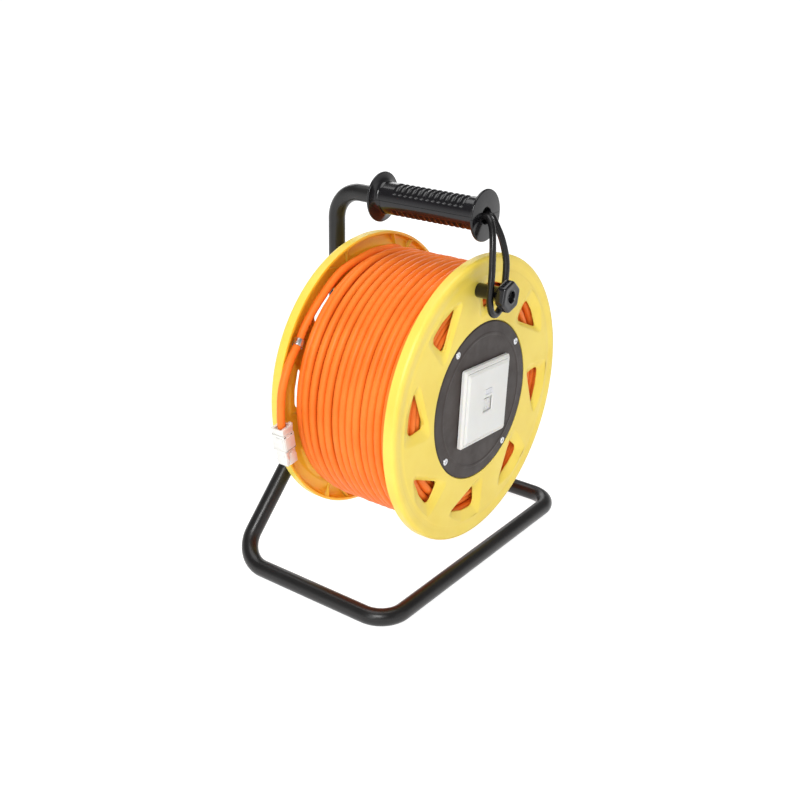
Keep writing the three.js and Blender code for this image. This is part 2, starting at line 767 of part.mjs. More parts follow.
const tailRoute = new THREE.CatmullRomCurve3([
  onDrum(68, 124.8, 51.4),
  onDrum(86, 126.2, 51.5),
  onDrum(101, 126.2, 51.7),
  onDrum(116, 129, 52.2),
  onDrum(132.6, 127.8, 53.2),
  onDrum(144.5, 128.2, 54.8),
  onDrum(152.4, 129.2, 54.6),
  vec(-131.6, 50, 229),
  vec(-145, 48.4, 205.7),
  vec(-149.9, 46.5, 183),
  vec(-150, 45.8, 168),
]);
const tailPoints = tailRoute.getSpacedPoints(34);
add('cable_tail', tube(tailPoints, CABLE_D / 2, 8), ORANGE);

// ---------- tail clip ----------
const clipStation = 6 / 10;  // the clip sits on the seventh of eleven route points
const clipDir = tailRoute.getTangent(clipStation);
const clipCentre = tailRoute.getPoint(clipStation);
const clipTurn = new THREE.Quaternion().setFromUnitVectors(vec(0, 1, 0), clipDir);
const clipHalf = 3.6;
function atClip(profile) {
  const g = turned(profile, 20, 0, 0).applyQuaternion(clipTurn);
  return g.translate(clipCentre.x, clipCentre.y, clipCentre.z);
}
const band = [[4.8, -clipHalf], [5.6, -clipHalf], [5.6, clipHalf], [4.8, clipHalf]];
let saddle = solid(atClip(band));
const clipFoot = spun(box(116, 126.5, 58.3, 59.1, AXIS_Z - 4, AXIS_Z + 4), clipAngle);
saddle = saddle.add(solid(clipFoot));
saddle = saddle.subtract(solid(atClip([[0, -9], [4.8, -9], [4.8, 9], [0, 9]])));
saddle = saddle.subtract(solid(rod(1.7, 50, 64, clipScrewX, AXIS_Z + clipScrewZ, 12)));
add('tail_clip', geometryOf(saddle), STEEL);
add(
  'tail_clip_screw',
  turned([[0, 56.2], [2, 56.4], [3.2, 57.4], [3.2, 58], [1.2, 58], [1.2, 62], [0, 62]], 16, clipScrewX, AXIS_Z + clipScrewZ),
  STEEL,
);

// ---------- jack on the tail ----------
// modelled hanging down from the cable end, then placed and turned with the tail
const JACK_W = 14.4;
const JACK_D = 16;
const JACK_TURN = 13.5;
function placedJack(geometry) {
  geometry.translate(0, 0, -2);
  geometry.rotateY(-THREE.MathUtils.degToRad(JACK_TURN - 4));
  geometry.translate(-150, 45.8, 168);
  return geometry;
}
const w = JACK_W / 2;
const dp = JACK_D / 2;
const capBlank = combine(box(-w + 0.8, w - 0.8, -dp + 0.8, dp - 0.8, -2.2, 4.6), [], [
  new THREE.CylinderGeometry(4.9, 4.9, 20, 16).rotateX(Math.PI / 2),
]);
add('jack_cap', placedJack(capBlank), STEEL);
const rearBlock = combine(box(-w, w, -dp, dp, -20, -2.5), [
  box(-w + 2, w - 2, -dp - 0.9, -dp + 0.5, -17, -6),
  box(w - 0.5, w + 0.7, -4, 4, -15, -9),
]);
add('jack_body', placedJack(rearBlock), STEEL);
let snout = solid(box(-w + 0.6, w - 0.6, -dp + 1, dp - 2.4, -36, -20.3));
snout = snout.subtract(solid(box(-5.4, 5.4, -4.6, 3, -37, -24)));
snout = snout.subtract(solid(box(-3, 3, 0, 4.6, -37, -26)));
add('jack_port', placedJack(geometryOf(snout)), STEEL);
let latch = solid(box(-4.4, 4.4, dp - 2.1, dp - 1.3, -33, -20.3));
latch = latch.add(solid(box(-4.4, 4.4, dp - 2.1, dp + 0.6, -34, -32.4)));
add('jack_latch', placedJack(geometryOf(latch)), WHITE);

// ---------- retaining loop ----------
const CORD_R = 3.25;
const loopRoute = new THREE.CatmullRomCurve3([
  vec(-3.6, GRIP_FRONT + 4.5, HANDLE_Z),
  vec(-4, GRIP_FRONT - 4, HANDLE_Z - 0.5),
  vec(-8.5, -88, 356),
  vec(-15.5, -94, 341),
  vec(-20.2, -97.5, 322),
  vec(-24.8, -100, 306),
  vec(-26, -100.4, 292),
  vec(-22, -100.5, 281),
  vec(-15, -100.6, 277.4),
  vec(-7.5, -100.5, 281.5),
  vec(-3.2, -100.4, 293),
  vec(0.4, -99.8, 308),
  vec(4.4, -97, 325),
  vec(4.4, -91.5, 343),
  vec(3.6, -84.5, 356.5),
  vec(3.6, GRIP_FRONT - 3.5, HANDLE_Z - 0.6),
  vec(3.6, GRIP_FRONT + 4.5, HANDLE_Z),
]);
add('retaining_loop', tube(loopRoute.getSpacedPoints(44), CORD_R, 8), BLACK);
const loopPlug = turned([[0, GRIP_FRONT + 5], [6.6, GRIP_FRONT + 5], [6.6, GRIP_FRONT + 16], [0, GRIP_FRONT + 16]], 20, 0, HANDLE_Z);
add('loop_plug', loopPlug, BLACK);

export default object;
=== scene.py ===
# Portable network cable reel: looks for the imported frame. Sizes below are in millimetres in the row frame
# (+Z up, drum axis along Y at z = AXIS_Z, front towards -Y); MM turns them into metres.
import math

import bmesh
import bpy
import numpy as np
from mathutils import Matrix, Quaternion, Vector
from mathutils.geometry import delaunay_2d_cdt


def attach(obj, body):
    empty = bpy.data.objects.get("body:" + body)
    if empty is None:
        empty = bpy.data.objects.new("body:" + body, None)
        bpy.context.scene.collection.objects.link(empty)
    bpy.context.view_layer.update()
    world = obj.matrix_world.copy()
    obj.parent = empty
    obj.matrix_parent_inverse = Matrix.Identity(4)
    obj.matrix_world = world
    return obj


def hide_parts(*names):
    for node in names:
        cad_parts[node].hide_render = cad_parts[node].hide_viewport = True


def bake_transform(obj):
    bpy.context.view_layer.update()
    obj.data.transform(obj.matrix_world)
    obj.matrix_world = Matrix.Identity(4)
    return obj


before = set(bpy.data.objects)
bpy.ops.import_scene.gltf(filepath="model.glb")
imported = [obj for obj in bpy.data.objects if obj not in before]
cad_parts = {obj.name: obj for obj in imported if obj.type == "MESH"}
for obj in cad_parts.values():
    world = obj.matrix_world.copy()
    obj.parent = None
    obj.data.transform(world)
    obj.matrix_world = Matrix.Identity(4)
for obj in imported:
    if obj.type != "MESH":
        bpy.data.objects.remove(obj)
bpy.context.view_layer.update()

MM = 0.001
AXIS_Z = 181.3
RIM_FRONT = -81.2
RIM_BACK = 66.3
MIRROR = RIM_FRONT + RIM_BACK
FLANGE_R = 144.0
CORE_R = 90.5
STAND_Y = 101.6
TUBE_R = 8.5
TUBE_WALL = 1.5
BORE_DEPTH = 19.5       # of the open front end inside the grip
FOOT_X = 157.3
FOOT_FRONT = -86.6
APEX_Z = 172.0
HANDLE_Z = 363.6
KNOB = (-15.0, AXIS_Z + 116.0)
PLATE_TURN = -2.7
SCREW_R = 74.4
SCREW_ANGLE = 37.0
PANEL_FRONT = -81.1
CABLE_D = 8.0
TAIL_R, TAIL_Y = 124.8, 51.4            # where the tail leaves the winding
CLIP_R, CLIP_ANGLE = 119.8, 152.4       # the clip's screw on the back flange
TIE_R, TIE_ANGLE = 78.5, 82.0           # the first of four tie screws
WINDOWS = 8
WEB_END = 141.6                         # ribs end inside the rim's wall
JACK_AT = (-150.0, 45.8, 168.0)


# ---------- camera ----------
def aim(azimuth, elevation, roll):
    a, e, w = (math.radians(v) for v in (azimuth, elevation, roll))
    back = Vector((math.sin(a) * math.cos(e), -math.cos(a) * math.cos(e), math.sin(e)))
    turn = (-back).to_track_quat("-Z", "Y")
    return turn @ Quaternion((0, 0, 1), w)


camera = bpy.data.objects.new("camera", bpy.data.cameras.new("camera"))
bpy.context.scene.collection.objects.link(camera)
bpy.context.scene.camera = camera
camera.location = (-0.8500, -0.6022, 0.5995)
camera.rotation_mode = "QUATERNION"
camera.rotation_quaternion = aim(-53.9, 22.9, 1.2)
camera.data.sensor_width = 36
camera.data.lens = 49.58


# ---------- mesh helpers ----------
def polar(r, degrees):
    a = math.radians(degrees)
    return r * math.cos(a), r * math.sin(a)


def finish_mesh(obj, angle):
    for p in obj.data.polygons:
        p.use_smooth = True
    obj.data.set_sharp_from_angle(angle=math.radians(angle))


def raw(name, verts, faces):
    """A mesh object from points in millimetres."""
    mesh = bpy.data.meshes.new(name)
    mesh.from_pydata([tuple(v) for v in np.asarray(verts, float) * MM], [], [tuple(f) for f in faces])
    bm = bmesh.new()
    bm.from_mesh(mesh)
    bmesh.ops.recalc_face_normals(bm, faces=bm.faces)
    bm.to_mesh(mesh)
    bm.free()
    obj = bpy.data.objects.new(name, mesh)
    bpy.context.scene.collection.objects.link(obj)
    return obj


def make(name, verts, faces, body, mat, stands_for=(), slot=None, angle=38, bevel=0.0):
    """A finished piece from points in millimetres."""
    return settle(raw(name, verts, faces), body, mat, stands_for, angle, bevel)


def settle(obj, body, mat, stands_for=(), angle=38, bevel=0.0):
    if bevel:
        m = obj.modifiers.new("edges", "BEVEL")
        m.width = bevel * MM
        m.segments = 2
        m.limit_method = "ANGLE"
        m.angle_limit = math.radians(35)
        apply_modifiers(obj)
    finish_mesh(obj, angle)
    obj.data.materials.clear()
    obj.data.materials.append(mat)
    if isinstance(body, str):
        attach(obj, body)
    else:
        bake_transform(obj)
    if stands_for:
        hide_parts(*stands_for)
    return obj


def apply_modifiers(obj):
    dg = bpy.context.evaluated_depsgraph_get()
    mesh = bpy.data.meshes.new_from_object(obj.evaluated_get(dg))
    old = obj.data
    obj.modifiers.clear()
    obj.data = mesh
    bpy.data.meshes.remove(old)


def lattice(rows, wrap_rows=False, caps=True):
    """Verts and faces of closed rings stacked one after another; wrap_rows joins the last ring to the first."""
    rows = np.asarray(rows, float)
    n, m = rows.shape[:2]
    verts = rows.reshape(-1, 3)
    faces = []
    last = n if wrap_rows else n - 1
    for i in range(last):
        k = (i + 1) % n
        for j in range(m):
            l = (j + 1) % m
            faces.append((i * m + j, i * m + l, k * m + l, k * m + j))
    if caps and not wrap_rows:
        faces.append(tuple(range(m))[::-1])
        faces.append(tuple((n - 1) * m + j for j in range(m)))
    return verts, faces


def turned_rows(profile, segments, x=0.0, z=AXIS_Z):
    """Rings about a line along Y for a list of (radius, y)."""
    a = np.arange(segments) * 2 * math.pi / segments
    return [np.stack([x + r * np.cos(a), np.full(segments, y), z + r * np.sin(a)], 1) for r, y in profile]


def turned(name, profile, segments, body, mat, x=0.0, z=AXIS_Z, closed=False, **more):
    verts, faces = lattice(turned_rows(profile, segments, x, z), wrap_rows=closed)
    return make(name, verts, faces, body, mat, **more)


def fillet(points, radius, steps=4, closed=False):
    """A 2D polyline with its corners rounded; radius is one number or one for each point."""
    pts = [Vector(p) for p in points]
    n = len(pts)
    out = []
    for i, p in enumerate(pts):
        r = radius[i] if isinstance(radius, (list, tuple)) else radius
        if r <= 0 or (not closed and i in (0, n - 1)):
            out.append(tuple(p))
            continue
        a = pts[i - 1] - p
        b = pts[(i + 1) % n] - p
        la, lb = a.length, b.length
        a, b = a.normalized(), b.normalized()
        half = math.acos(max(-1, min(1, a.dot(b)))) / 2
        cut = min(r / max(math.tan(half), 1e-6), la * 0.49, lb * 0.49)
        s, e = p + a * cut, p + b * cut
        for k in range(steps + 1):
            t = k / steps
            out.append(tuple(s * (1 - t) ** 2 + p * (2 * t * (1 - t)) + e * t * t))
    return out


def spin_points(points, degrees):
    """Points turned about the drum axis, anticlockwise seen from the front."""
    p = np.asarray(points, float).copy()
    a = math.radians(degrees)
    x, z = p[:, 0].copy(), p[:, 2] - AXIS_Z
    p[:, 0] = x * math.cos(a) - z * math.sin(a)
    p[:, 2] = AXIS_Z + x * math.sin(a) + z * math.cos(a)
    return p


def smooth(t):
    t = np.clip(t, 0, 1)
    return t * t * (3 - 2 * t)


def boolean(target, cutters, operation):
    """Target with each cutter added or taken away, by closed-solid booleans; the cutters go."""
    for c in cutters:
        m = target.modifiers.new("cut", "BOOLEAN")
        m.operation = operation
        m.solver = "MANIFOLD" if "MANIFOLD" in m.bl_rna.properties["solver"].enum_items else "EXACT"
        m.object = c
        apply_modifiers(target)
    for c in cutters:
        bpy.data.objects.remove(c)


def joined(parts):
    """One verts and faces pair from several."""
    verts, faces = [], []
    for v, f in parts:
        base = len(verts)
        verts.extend(np.asarray(v, float).tolist())
        faces.extend([tuple(i + base for i in face) for face in f])
    return verts, faces


# ---------- materials ----------
def shader(name):
    mat = bpy.data.materials.new(name)
    mat.use_nodes = True
    tree = mat.node_tree
    return mat, tree, tree.nodes["Principled BSDF"]


def fill(n, **values):
    """Sets inputs by name, with _ for each space."""
    for key, value in values.items():
        n.inputs[key.replace("_", " ")].default_value = value


def noise(tree, scale, detail=4.0, roughness=0.5, stretch=None, distortion=0.0):
    coords = tree.nodes.new("ShaderNodeTexCoord")
    source = coords.outputs["Object"]
    if stretch:
        mapping = tree.nodes.new("ShaderNodeMapping")
        mapping.inputs["Scale"].default_value = stretch
        tree.links.new(source, mapping.inputs["Vector"])
        source = mapping.outputs["Vector"]
    n = tree.nodes.new("ShaderNodeTexNoise")
    fill(n, Scale=scale, Detail=detail, Roughness=roughness, Distortion=distortion)
    tree.links.new(source, n.inputs["Vector"])
    return n.outputs["Fac"]


def spread(tree, value, low, high, to_low, to_high):
    m = tree.nodes.new("ShaderNodeMapRange")
    fill(m, From_Min=low, From_Max=high, To_Min=to_low, To_Max=to_high)
    tree.links.new(value, m.inputs["Value"])
    return m.outputs["Result"]


def mixed(tree, fac, a, b):
    m = tree.nodes.new("ShaderNodeMix")
    m.data_type = "RGBA"
    for socket, value in ((m.inputs[6], a), (m.inputs[7], b)):
        if isinstance(value, tuple):
            socket.default_value = (*value, 1)
        else:
            tree.links.new(value, socket)
    tree.links.new(fac, m.inputs[0])
    return m.outputs[2]


def bump(tree, bsdf, height, strength, distance, after=None):
    b = tree.nodes.new("ShaderNodeBump")
    fill(b, Strength=strength, Distance=distance * MM)
    tree.links.new(height, b.inputs["Height"])
    if after is not None:
        tree.links.new(after, b.inputs["Normal"])
    tree.links.new(b.outputs["Normal"], bsdf.inputs["Normal"])
    return b.outputs["Normal"]


def srgb(r, g, b):
    def lin(c):
        c /= 255
        return c / 12.92 if c <= 0.04045 else ((c + 0.055) / 1.055) ** 2.4
    return lin(r), lin(g), lin(b)


def plastic(name, color, other, rough, grain=2600.0, grain_depth=0.012, blotch=18.0, marks=0.25,
            coat=0.0, specular=0.5, subsurface=0.0, mark_color=None):
    """Moulded plastic: slow colour drift, fine grain, rubbed patches and thin scuffs."""
    mat, tree, bsdf = shader(name)
    drift = spread(tree, noise(tree, blotch, 5.0, 0.55), 0.35, 0.65, 0.0, 1.0)
    base = mixed(tree, drift, color, other)
    scuff = spread(tree, noise(tree, 240.0, 6.0, 0.62, (1.0, 1.0, 5.0), 0.6), 0.60, 0.76, 0.0, marks)
    tree.links.new(mixed(tree, scuff, base, mark_color or other), bsdf.inputs["Base Color"])
    worn = spread(tree, noise(tree, 60.0, 6.0, 0.6), 0.35, 0.7, rough * 0.82, rough * 1.25)
    tree.links.new(worn, bsdf.inputs["Roughness"])
    first = bump(tree, bsdf, noise(tree, grain, 2.0), 0.5, grain_depth)
    bump(tree, bsdf, noise(tree, 90.0, 3.0), 0.35, 0.05, first)
    fill(bsdf, Coat_Weight=coat, Coat_Roughness=0.12, Specular_IOR_Level=specular)
    if subsurface:
        fill(bsdf, Subsurface_Weight=subsurface, Subsurface_Radius=(0.004, 0.002, 0.0007), Subsurface_Scale=1.0)
    return mat


def metal(name, color, rough, brushed=None, grain=900.0, depth=0.01, tarnish=(0.3, 0.3, 0.3), tarnish_share=0.15,
          metallic=1.0):
    mat, tree, bsdf = shader(name)
    bsdf.inputs["Metallic"].default_value = metallic
    cloud = spread(tree, noise(tree, 120.0, 6.0, 0.6), 0.45, 0.75, 0.0, tarnish_share)
    tree.links.new(mixed(tree, cloud, color, tarnish), bsdf.inputs["Base Color"])
    worn = spread(tree, noise(tree, 300.0, 5.0, 0.6), 0.3, 0.7, rough * 0.75, rough * 1.35)
    tree.links.new(worn, bsdf.inputs["Roughness"])
    bump(tree, bsdf, noise(tree, grain, 3.0, 0.5, brushed), 0.4, depth)
    return mat


def powder_coat(name):
    """Satin black stove enamel over steel: orange peel, a faint patchy tone drift, a few rubbed scratches."""
    mat, tree, bsdf = shader(name)
    drift = spread(tree, noise(tree, 30.0, 5.0), 0.3, 0.7, 0.0, 1.0)
    base = mixed(tree, drift, (0.0080, 0.0076, 0.0077), (0.0125, 0.0118, 0.0118))
    scratch = spread(tree, noise(tree, 520.0, 7.0, 0.7, (1.0, 0.25, 1.0), 1.2), 0.665, 0.73, 0.0, 0.5)
    tree.links.new(mixed(tree, scratch, base, (0.13, 0.125, 0.12)), bsdf.inputs["Base Color"])
    tree.links.new(spread(tree, noise(tree, 45.0, 6.0, 0.65), 0.3, 0.7, 0.25, 0.42), bsdf.inputs["Roughness"])
    peel = bump(tree, bsdf, noise(tree, 420.0, 2.0, 0.4), 0.35, 0.06)
    bump(tree, bsdf, noise(tree, 3000.0, 2.0), 0.25, 0.012, peel)
    fill(bsdf, Specular_IOR_Level=0.35, Coat_Weight=0.15, Coat_Roughness=0.18)
    return mat


YELLOW = plastic("yellow_plastic", srgb(238, 213, 90), srgb(232, 204, 78), 0.36, marks=0.12,
                 mark_color=srgb(245, 226, 136), subsurface=0.06, grain=1900.0, grain_depth=0.02, specular=0.4)
ORANGE = plastic("orange_jacket", srgb(245, 126, 40), srgb(238, 115, 30), 0.5, grain=3200.0, grain_depth=0.02,
                 blotch=26.0, marks=0.14, mark_color=srgb(250, 158, 86), subsurface=0.06, specular=0.3)
# painted bounce light: a warmer, brighter yellow for the back flange's faces that look at the cable, standing in for
# orange light bounced off the winding into their shade
BOUNCE_LIT_YELLOW = plastic("yellow_painted_bounce_light", srgb(255, 202, 54), srgb(252, 192, 42), 0.36, marks=0.12,
                      mark_color=srgb(250, 218, 110), subsurface=0.25, grain=1900.0, grain_depth=0.02, specular=0.4)
PANEL = plastic("panel_black", srgb(62, 54, 51), srgb(54, 47, 45), 0.5, grain=1500.0, grain_depth=0.03,
                marks=0.3, mark_color=srgb(88, 80, 77), specular=0.3)
WHITE = plastic("white_plastic", srgb(222, 221, 218), srgb(214, 213, 209), 0.34, marks=0.08,
                mark_color=srgb(200, 198, 192), subsurface=0.1)
LABEL = plastic("label_film", srgb(206, 208, 212), srgb(198, 200, 204), 0.16, grain=400.0, coat=0.5, marks=0.1)
GRIP = plastic("grip_black", srgb(19, 18, 21), srgb(14, 13, 16), 0.17, grain=1400.0, grain_depth=0.018,
               marks=0.16, mark_color=srgb(52, 51, 53), coat=0.2, specular=0.4)
HUB = plastic("hub_black", srgb(28, 27, 28), srgb(22, 21, 22), 0.36, marks=0.18, mark_color=srgb(62, 60, 60),
              specular=0.35)
CORD = plastic("black_cord", srgb(20, 19, 20), srgb(16, 15, 16), 0.28, grain=2400.0, grain_depth=0.02,
               marks=0.15, mark_color=srgb(50, 48, 49), coat=0.1, specular=0.35)
STEEL = metal("zinc_steel", (0.66, 0.67, 0.69), 0.28, tarnish=(0.42, 0.42, 0.42))
JACK = metal("jack_metal", (0.80, 0.79, 0.76), 0.46, grain=1600.0, depth=0.02, tarnish=(0.62, 0.61, 0.59),
             metallic=0.55)
GOLD = metal("contact_gold", (0.86, 0.62, 0.25), 0.25)
TUBE = powder_coat("powder_coat")
# painted shade: dark plates standing for the jack's slot openings, also used for a thin dark line across the jack's
# front
DARK_SLOT_SHADE_AND_LINE = plastic("painted_slot_shade_and_line", srgb(18, 18, 19), srgb(13, 13, 14), 0.5)


# ---------- cords: the winding with its tail, and the retaining loop ----------
def spline(points, step):
    """A smooth line through the points, sampled about every step."""
    p = [Vector(q) for q in points]
    p = [p[0] * 2 - p[1]] + p + [p[-1] * 2 - p[-2]]
    out = []
    for i in range(1, len(p) - 2):
        a, b, c, d = p[i - 1:i + 3]
        n = max(2, round((c - b).length / step))
        for k in range(n):
            t = k / n
            out.append((b * 2 + (c - a) * t + (a * 2 - b * 5 + c * 4 - d) * t * t
                        + (b * 3 - a - c * 3 + d) * t ** 3) * 0.5)
    out.append(p[-2])
    return out


def sweep_rows(points, radius, sides):
    """Rings about a line, turned as little as possible from one to the next."""
    rows = []
    normal = None
    for i, p in enumerate(points):
        ahead = (points[min(i + 1, len(points) - 1)] - points[max(i - 1, 0)]).normalized()
        if normal is None:
            normal = ahead.orthogonal().normalized()
        normal = (normal - ahead * normal.dot(ahead)).normalized()
        side = ahead.cross(normal)
        r = radius[i] if isinstance(radius, (list, tuple)) else radius
        rows.append([tuple(p + (normal * math.cos(a) + side * math.sin(a)) * r)
                     for a in np.arange(sides) * 2 * math.pi / sides])
    return rows


def cord_tube(name, points, diameter, mat, body, stands_for):
    """A round cord as a tube of CORD_SIDES sides with flat ends."""
    verts, faces = lattice(sweep_rows(points, diameter / 2, CORD_SIDES))
    return make(name, verts, faces, body, mat, stands_for, angle=60)


CORD_SIDES = 16
LAYER_R = (94.8, 102.7, 110.6, 118.5, 126.4)
FIRST_Y, LAST_Y = -70.3, 43.0
TAIL_ANGLE = 68.0
PER_TURN = 60
LAYER_ENDS = ((FIRST_Y, LAST_Y), (LAST_Y, FIRST_Y), (FIRST_Y, LAST_Y), (36.0, FIRST_Y))
ALONG = (13.95, 13.95, 13.95, 13.1)     # turns from flange to flange
DWELL = 0.85        # of a turn against a flange, climbing to the next layer
OUTER_TURNS = 14.1
LOW_R = 123.3       # the last turns at the back lie in the step of the layer under them


def relaxed(y, sign, gap, low, high):
    """Turns pushed apart until none lies closer than gap to the one before it."""
    ends = y[0], y[-1]
    for _ in range(160):
        lack = np.clip(gap - (y[PER_TURN:] - y[:-PER_TURN]) * sign, 0, None) * 0.5 * sign
        y[PER_TURN:] += lack
        y[:-PER_TURN] -= lack
        y[1:-1] = y[1:-1] * 0.6 + (y[:-2] + y[2:]) * 0.2
        y = np.clip(y, low, high)
        y[0], y[-1] = ends
    return y


def wound():
    """Centreline of the winding: angle in degrees, radius and y, from the core out to the top of the tail."""
    angle, radius, across = [], [], []
    total = sum(ALONG) + 4 * DWELL + OUTER_TURNS
    at = TAIL_ANGLE - 360 * total
    for k in range(4):
        sign = 1 if k % 2 == 0 else -1
        a, b = LAYER_ENDS[k]
        after = (LAYER_ENDS[k + 1] if k < 3 else (FIRST_Y,))[0]
        n = round(ALONG[k] * PER_TURN)
        u = np.arange(n) / PER_TURN
        y = a + (b - a) * u / ALONG[k]
        if k == 0:      # the first turn lies flat against the front flange and hides the barrel behind it
            y = a + CABLE_D * smooth((u - 0.85) / 0.3) + (b - a - CABLE_D) * np.clip(u - 1, 0, None) / (ALONG[k] - 1)
        y += 0.35 * np.sin(2 * math.pi * 0.37 * u + k) + 0.3 * np.sin(2 * math.pi * 1.41 * u + 2 * k)
        y = relaxed(np.clip(y, FIRST_Y, max(a, b)), sign, 7.72, FIRST_Y, max(a, b))
        m = round(DWELL * PER_TURN)
        v = np.arange(m) / m
        angle.append(at + 360 * u)
        angle.append(at + 360 * (ALONG[k] + DWELL * v))
        radius.append(np.full(n, LAYER_R[k]))
        radius.append(LAYER_R[k] + (LAYER_R[k + 1] - LAYER_R[k]) * smooth((v - 0.55) / 0.45))
        across.append(y)
        across.append(b + (after - b) * smooth((v - 0.4) / 0.6))
        at += 360 * (ALONG[k] + DWELL)
    n = round(OUTER_TURNS * PER_TURN)
    u = np.arange(n + 1) / n * OUTER_TURNS
    theta = at + 360 * u
    front = 8.22
    rest = (TAIL_Y - FIRST_Y - front * 8) / (OUTER_TURNS - 8)
    y = FIRST_Y + np.where(u < 8, front * u, front * 8 + rest * (u - 8))
    loose = 0.22 + 0.75 * smooth((u - 6.5) / 4) - 0.5 * smooth((u - 12.6) / 1.2)
    y += loose * (0.8 * np.sin(2 * math.pi * 0.43 * u + 1.1) + 0.55 * np.sin(2 * math.pi * 1.37 * u + 2.0)
                  + 0.3 * np.sin(2 * math.pi * 2.21 * u))
    for centre, wide, push in (
        (124, 40, {1: 0.8, 2: 1.3, 3: 1.0, 4: -2.2, 5: -1.6, 6: -1.0, 7: -0.4}),
        (142, 26, {2: 0.9, 3: -0.9}),
        (186, 28, {3: 0.6, 4: 1.5, 5: -0.9}),
        (156, 30, {8: 0.5, 9: 0.9, 10: -0.9, 11: -0.4}),
        (206, 26, {11: 0.6, 12: -0.7}),
        (-60, 60, {2: -0.8, 6: 0.5, 9: -0.6}),
    ):
        off = (theta - centre + 180) % 360 - 180
        turn = np.round((centre - theta + off) / 360).astype(int)
        y += np.exp(-(off / wide) ** 2) * np.array([push.get(int(t), 0.0) for t in turn])
    y[0], y[-1] = FIRST_Y, TAIL_Y
    y = relaxed(y, 1, 7.8, FIRST_Y, TAIL_Y)
    r = LAYER_R[4] + 0.22 * np.sin(2 * math.pi * 0.61 * u) + 0.15 * np.sin(2 * math.pi * 1.73 * u + 0.7)
    for centre, wide, turn_back, rise in ((104, 22, 2, 1.3), (120, 26, 4, 0.9), (196, 24, 5, 0.8)):
        off = (theta - centre + 180) % 360 - 180
        turn = np.round((centre - theta + off) / 360).astype(int)
        r += rise * np.exp(-(off / wide) ** 2) * (turn == turn_back)
    r += smooth((y - 35.5) / 6.0) * (LOW_R - LAYER_R[4])
    r += smooth((u - OUTER_TURNS + 0.16) / 0.16) * (TAIL_R - r)
    angle.append(theta)
    radius.append(r)
    across.append(y)
    angle, radius, across = (np.concatenate(v) for v in (angle, radius, across))
    a = np.radians(angle)
    return [Vector(v) for v in np.stack([radius * np.cos(a), across, AXIS_Z + radius * np.sin(a)], 1)]


def on_drum(degrees, r, y):
    x, z = polar(r, degrees)
    return Vector((x, y, AXIS_Z + z))


TAIL_ROUTE = [
    on_drum(TAIL_ANGLE, TAIL_R, TAIL_Y), on_drum(86, 126.2, 51.5), on_drum(101, 126.2, 51.7), on_drum(116, 129, 52.2),
    on_drum(132.6, 127.8, 53.2), on_drum(144.5, 128.2, 54.8), on_drum(152.4, 129.2, 54.6),
    Vector((-131.6, 50, 229)), Vector((-145, 48.4, 205.7)), Vector((-149.9, 46.5, 183)), Vector((-150, 45.8, 168)),
]
winding_line = wound()
tail_line = spline([winding_line[-8]] + TAIL_ROUTE, 4.0)
tail_line = tail_line[[(p - TAIL_ROUTE[0]).length < 1e-6 for p in tail_line].index(True) + 1:]
cable_line = winding_line + tail_line
cable = cord_tube("wound_cable", cable_line, CABLE_D, ORANGE, "drum", ("cable_pack", "cable_tail"))

LOOP_ROUTE = [
    (-3.6, -71.5, 363.6), (-4, -80, 363.1), (-8.5, -88, 356), (-15.5, -94, 341), (-20.2, -97.5, 322),
    (-24.8, -100, 306), (-26, -100.4, 292), (-22, -100.5, 281), (-15, -100.6, 277.4), (-7.5, -100.5, 281.5),
    (-3.2, -100.4, 293), (0.4, -99.8, 308), (4.4, -97, 325), (4.4, -91.5, 343), (3.6, -84.5, 356.5),
    (3.6, -79.5, 363), (3.6, -71.5, 363.6),
]
# The loop's ends stay in the grip. LOOP_BEND names a bend from the mouth downwards, but the loop goes in with it as
# its body and is only baked in place.
LOOP_BEND = ("frame", "loop", (0, -0.072, 0.3636), (0, -0.07907, 0.35653))
loop_line = spline(LOOP_ROUTE, 2.0)
loop = cord_tube("loop_cord", loop_line, 6.5, CORD, LOOP_BEND, ("retaining_loop",))


# ---------- jack on the tail ----------
JACK_TURN = math.radians(9.5)


def jack_part(name, parts, mat, stands_for=(), slot=None, bevel=0.35):
    verts, faces = joined(parts)
    v = np.asarray(verts, float)
    c, s = math.cos(JACK_TURN), math.sin(JACK_TURN)
    z = v[:, 2] - 2
    jx, jy, jz = JACK_AT
    placed = np.stack([jx + v[:, 0] * c - z * s, jy + v[:, 1], jz + v[:, 0] * s + z * c], 1)
    return make(name, placed, faces, "drum", mat, stands_for, slot, angle=40, bevel=bevel)


def block(x0, x1, y0, y1, z0, z1):
    verts = [(x, y, z) for z in (z0, z1) for x, y in ((x0, y0), (x1, y0), (x1, y1), (x0, y1))]
    return verts, [(0, 3, 2, 1), (4, 5, 6, 7), (0, 1, 5, 4), (1, 2, 6, 5), (2, 3, 7, 6), (3, 0, 4, 7)]


def plate(outline, y0, y1):
    """An (x, z) outline run from y0 to y1."""
    return lattice([[(x, y0, z) for x, z in outline], [(x, y1, z) for x, z in outline]])


def tray(x0, x1, y0, y1, z0, z1, wall, floor_z):
    """A box open at its lower end, with a cavity up to floor_z."""
    rows = []
    for x_in, z in ((0, z1), (0, z0), (wall, z0), (wall, floor_z)):
        a, b, c, d = x0 + x_in, x1 - x_in, y0 + x_in, y1 - x_in
        rows.append([(a, c, z), (b, c, z), (b, d, z), (a, d, z)])
    return lattice(rows)


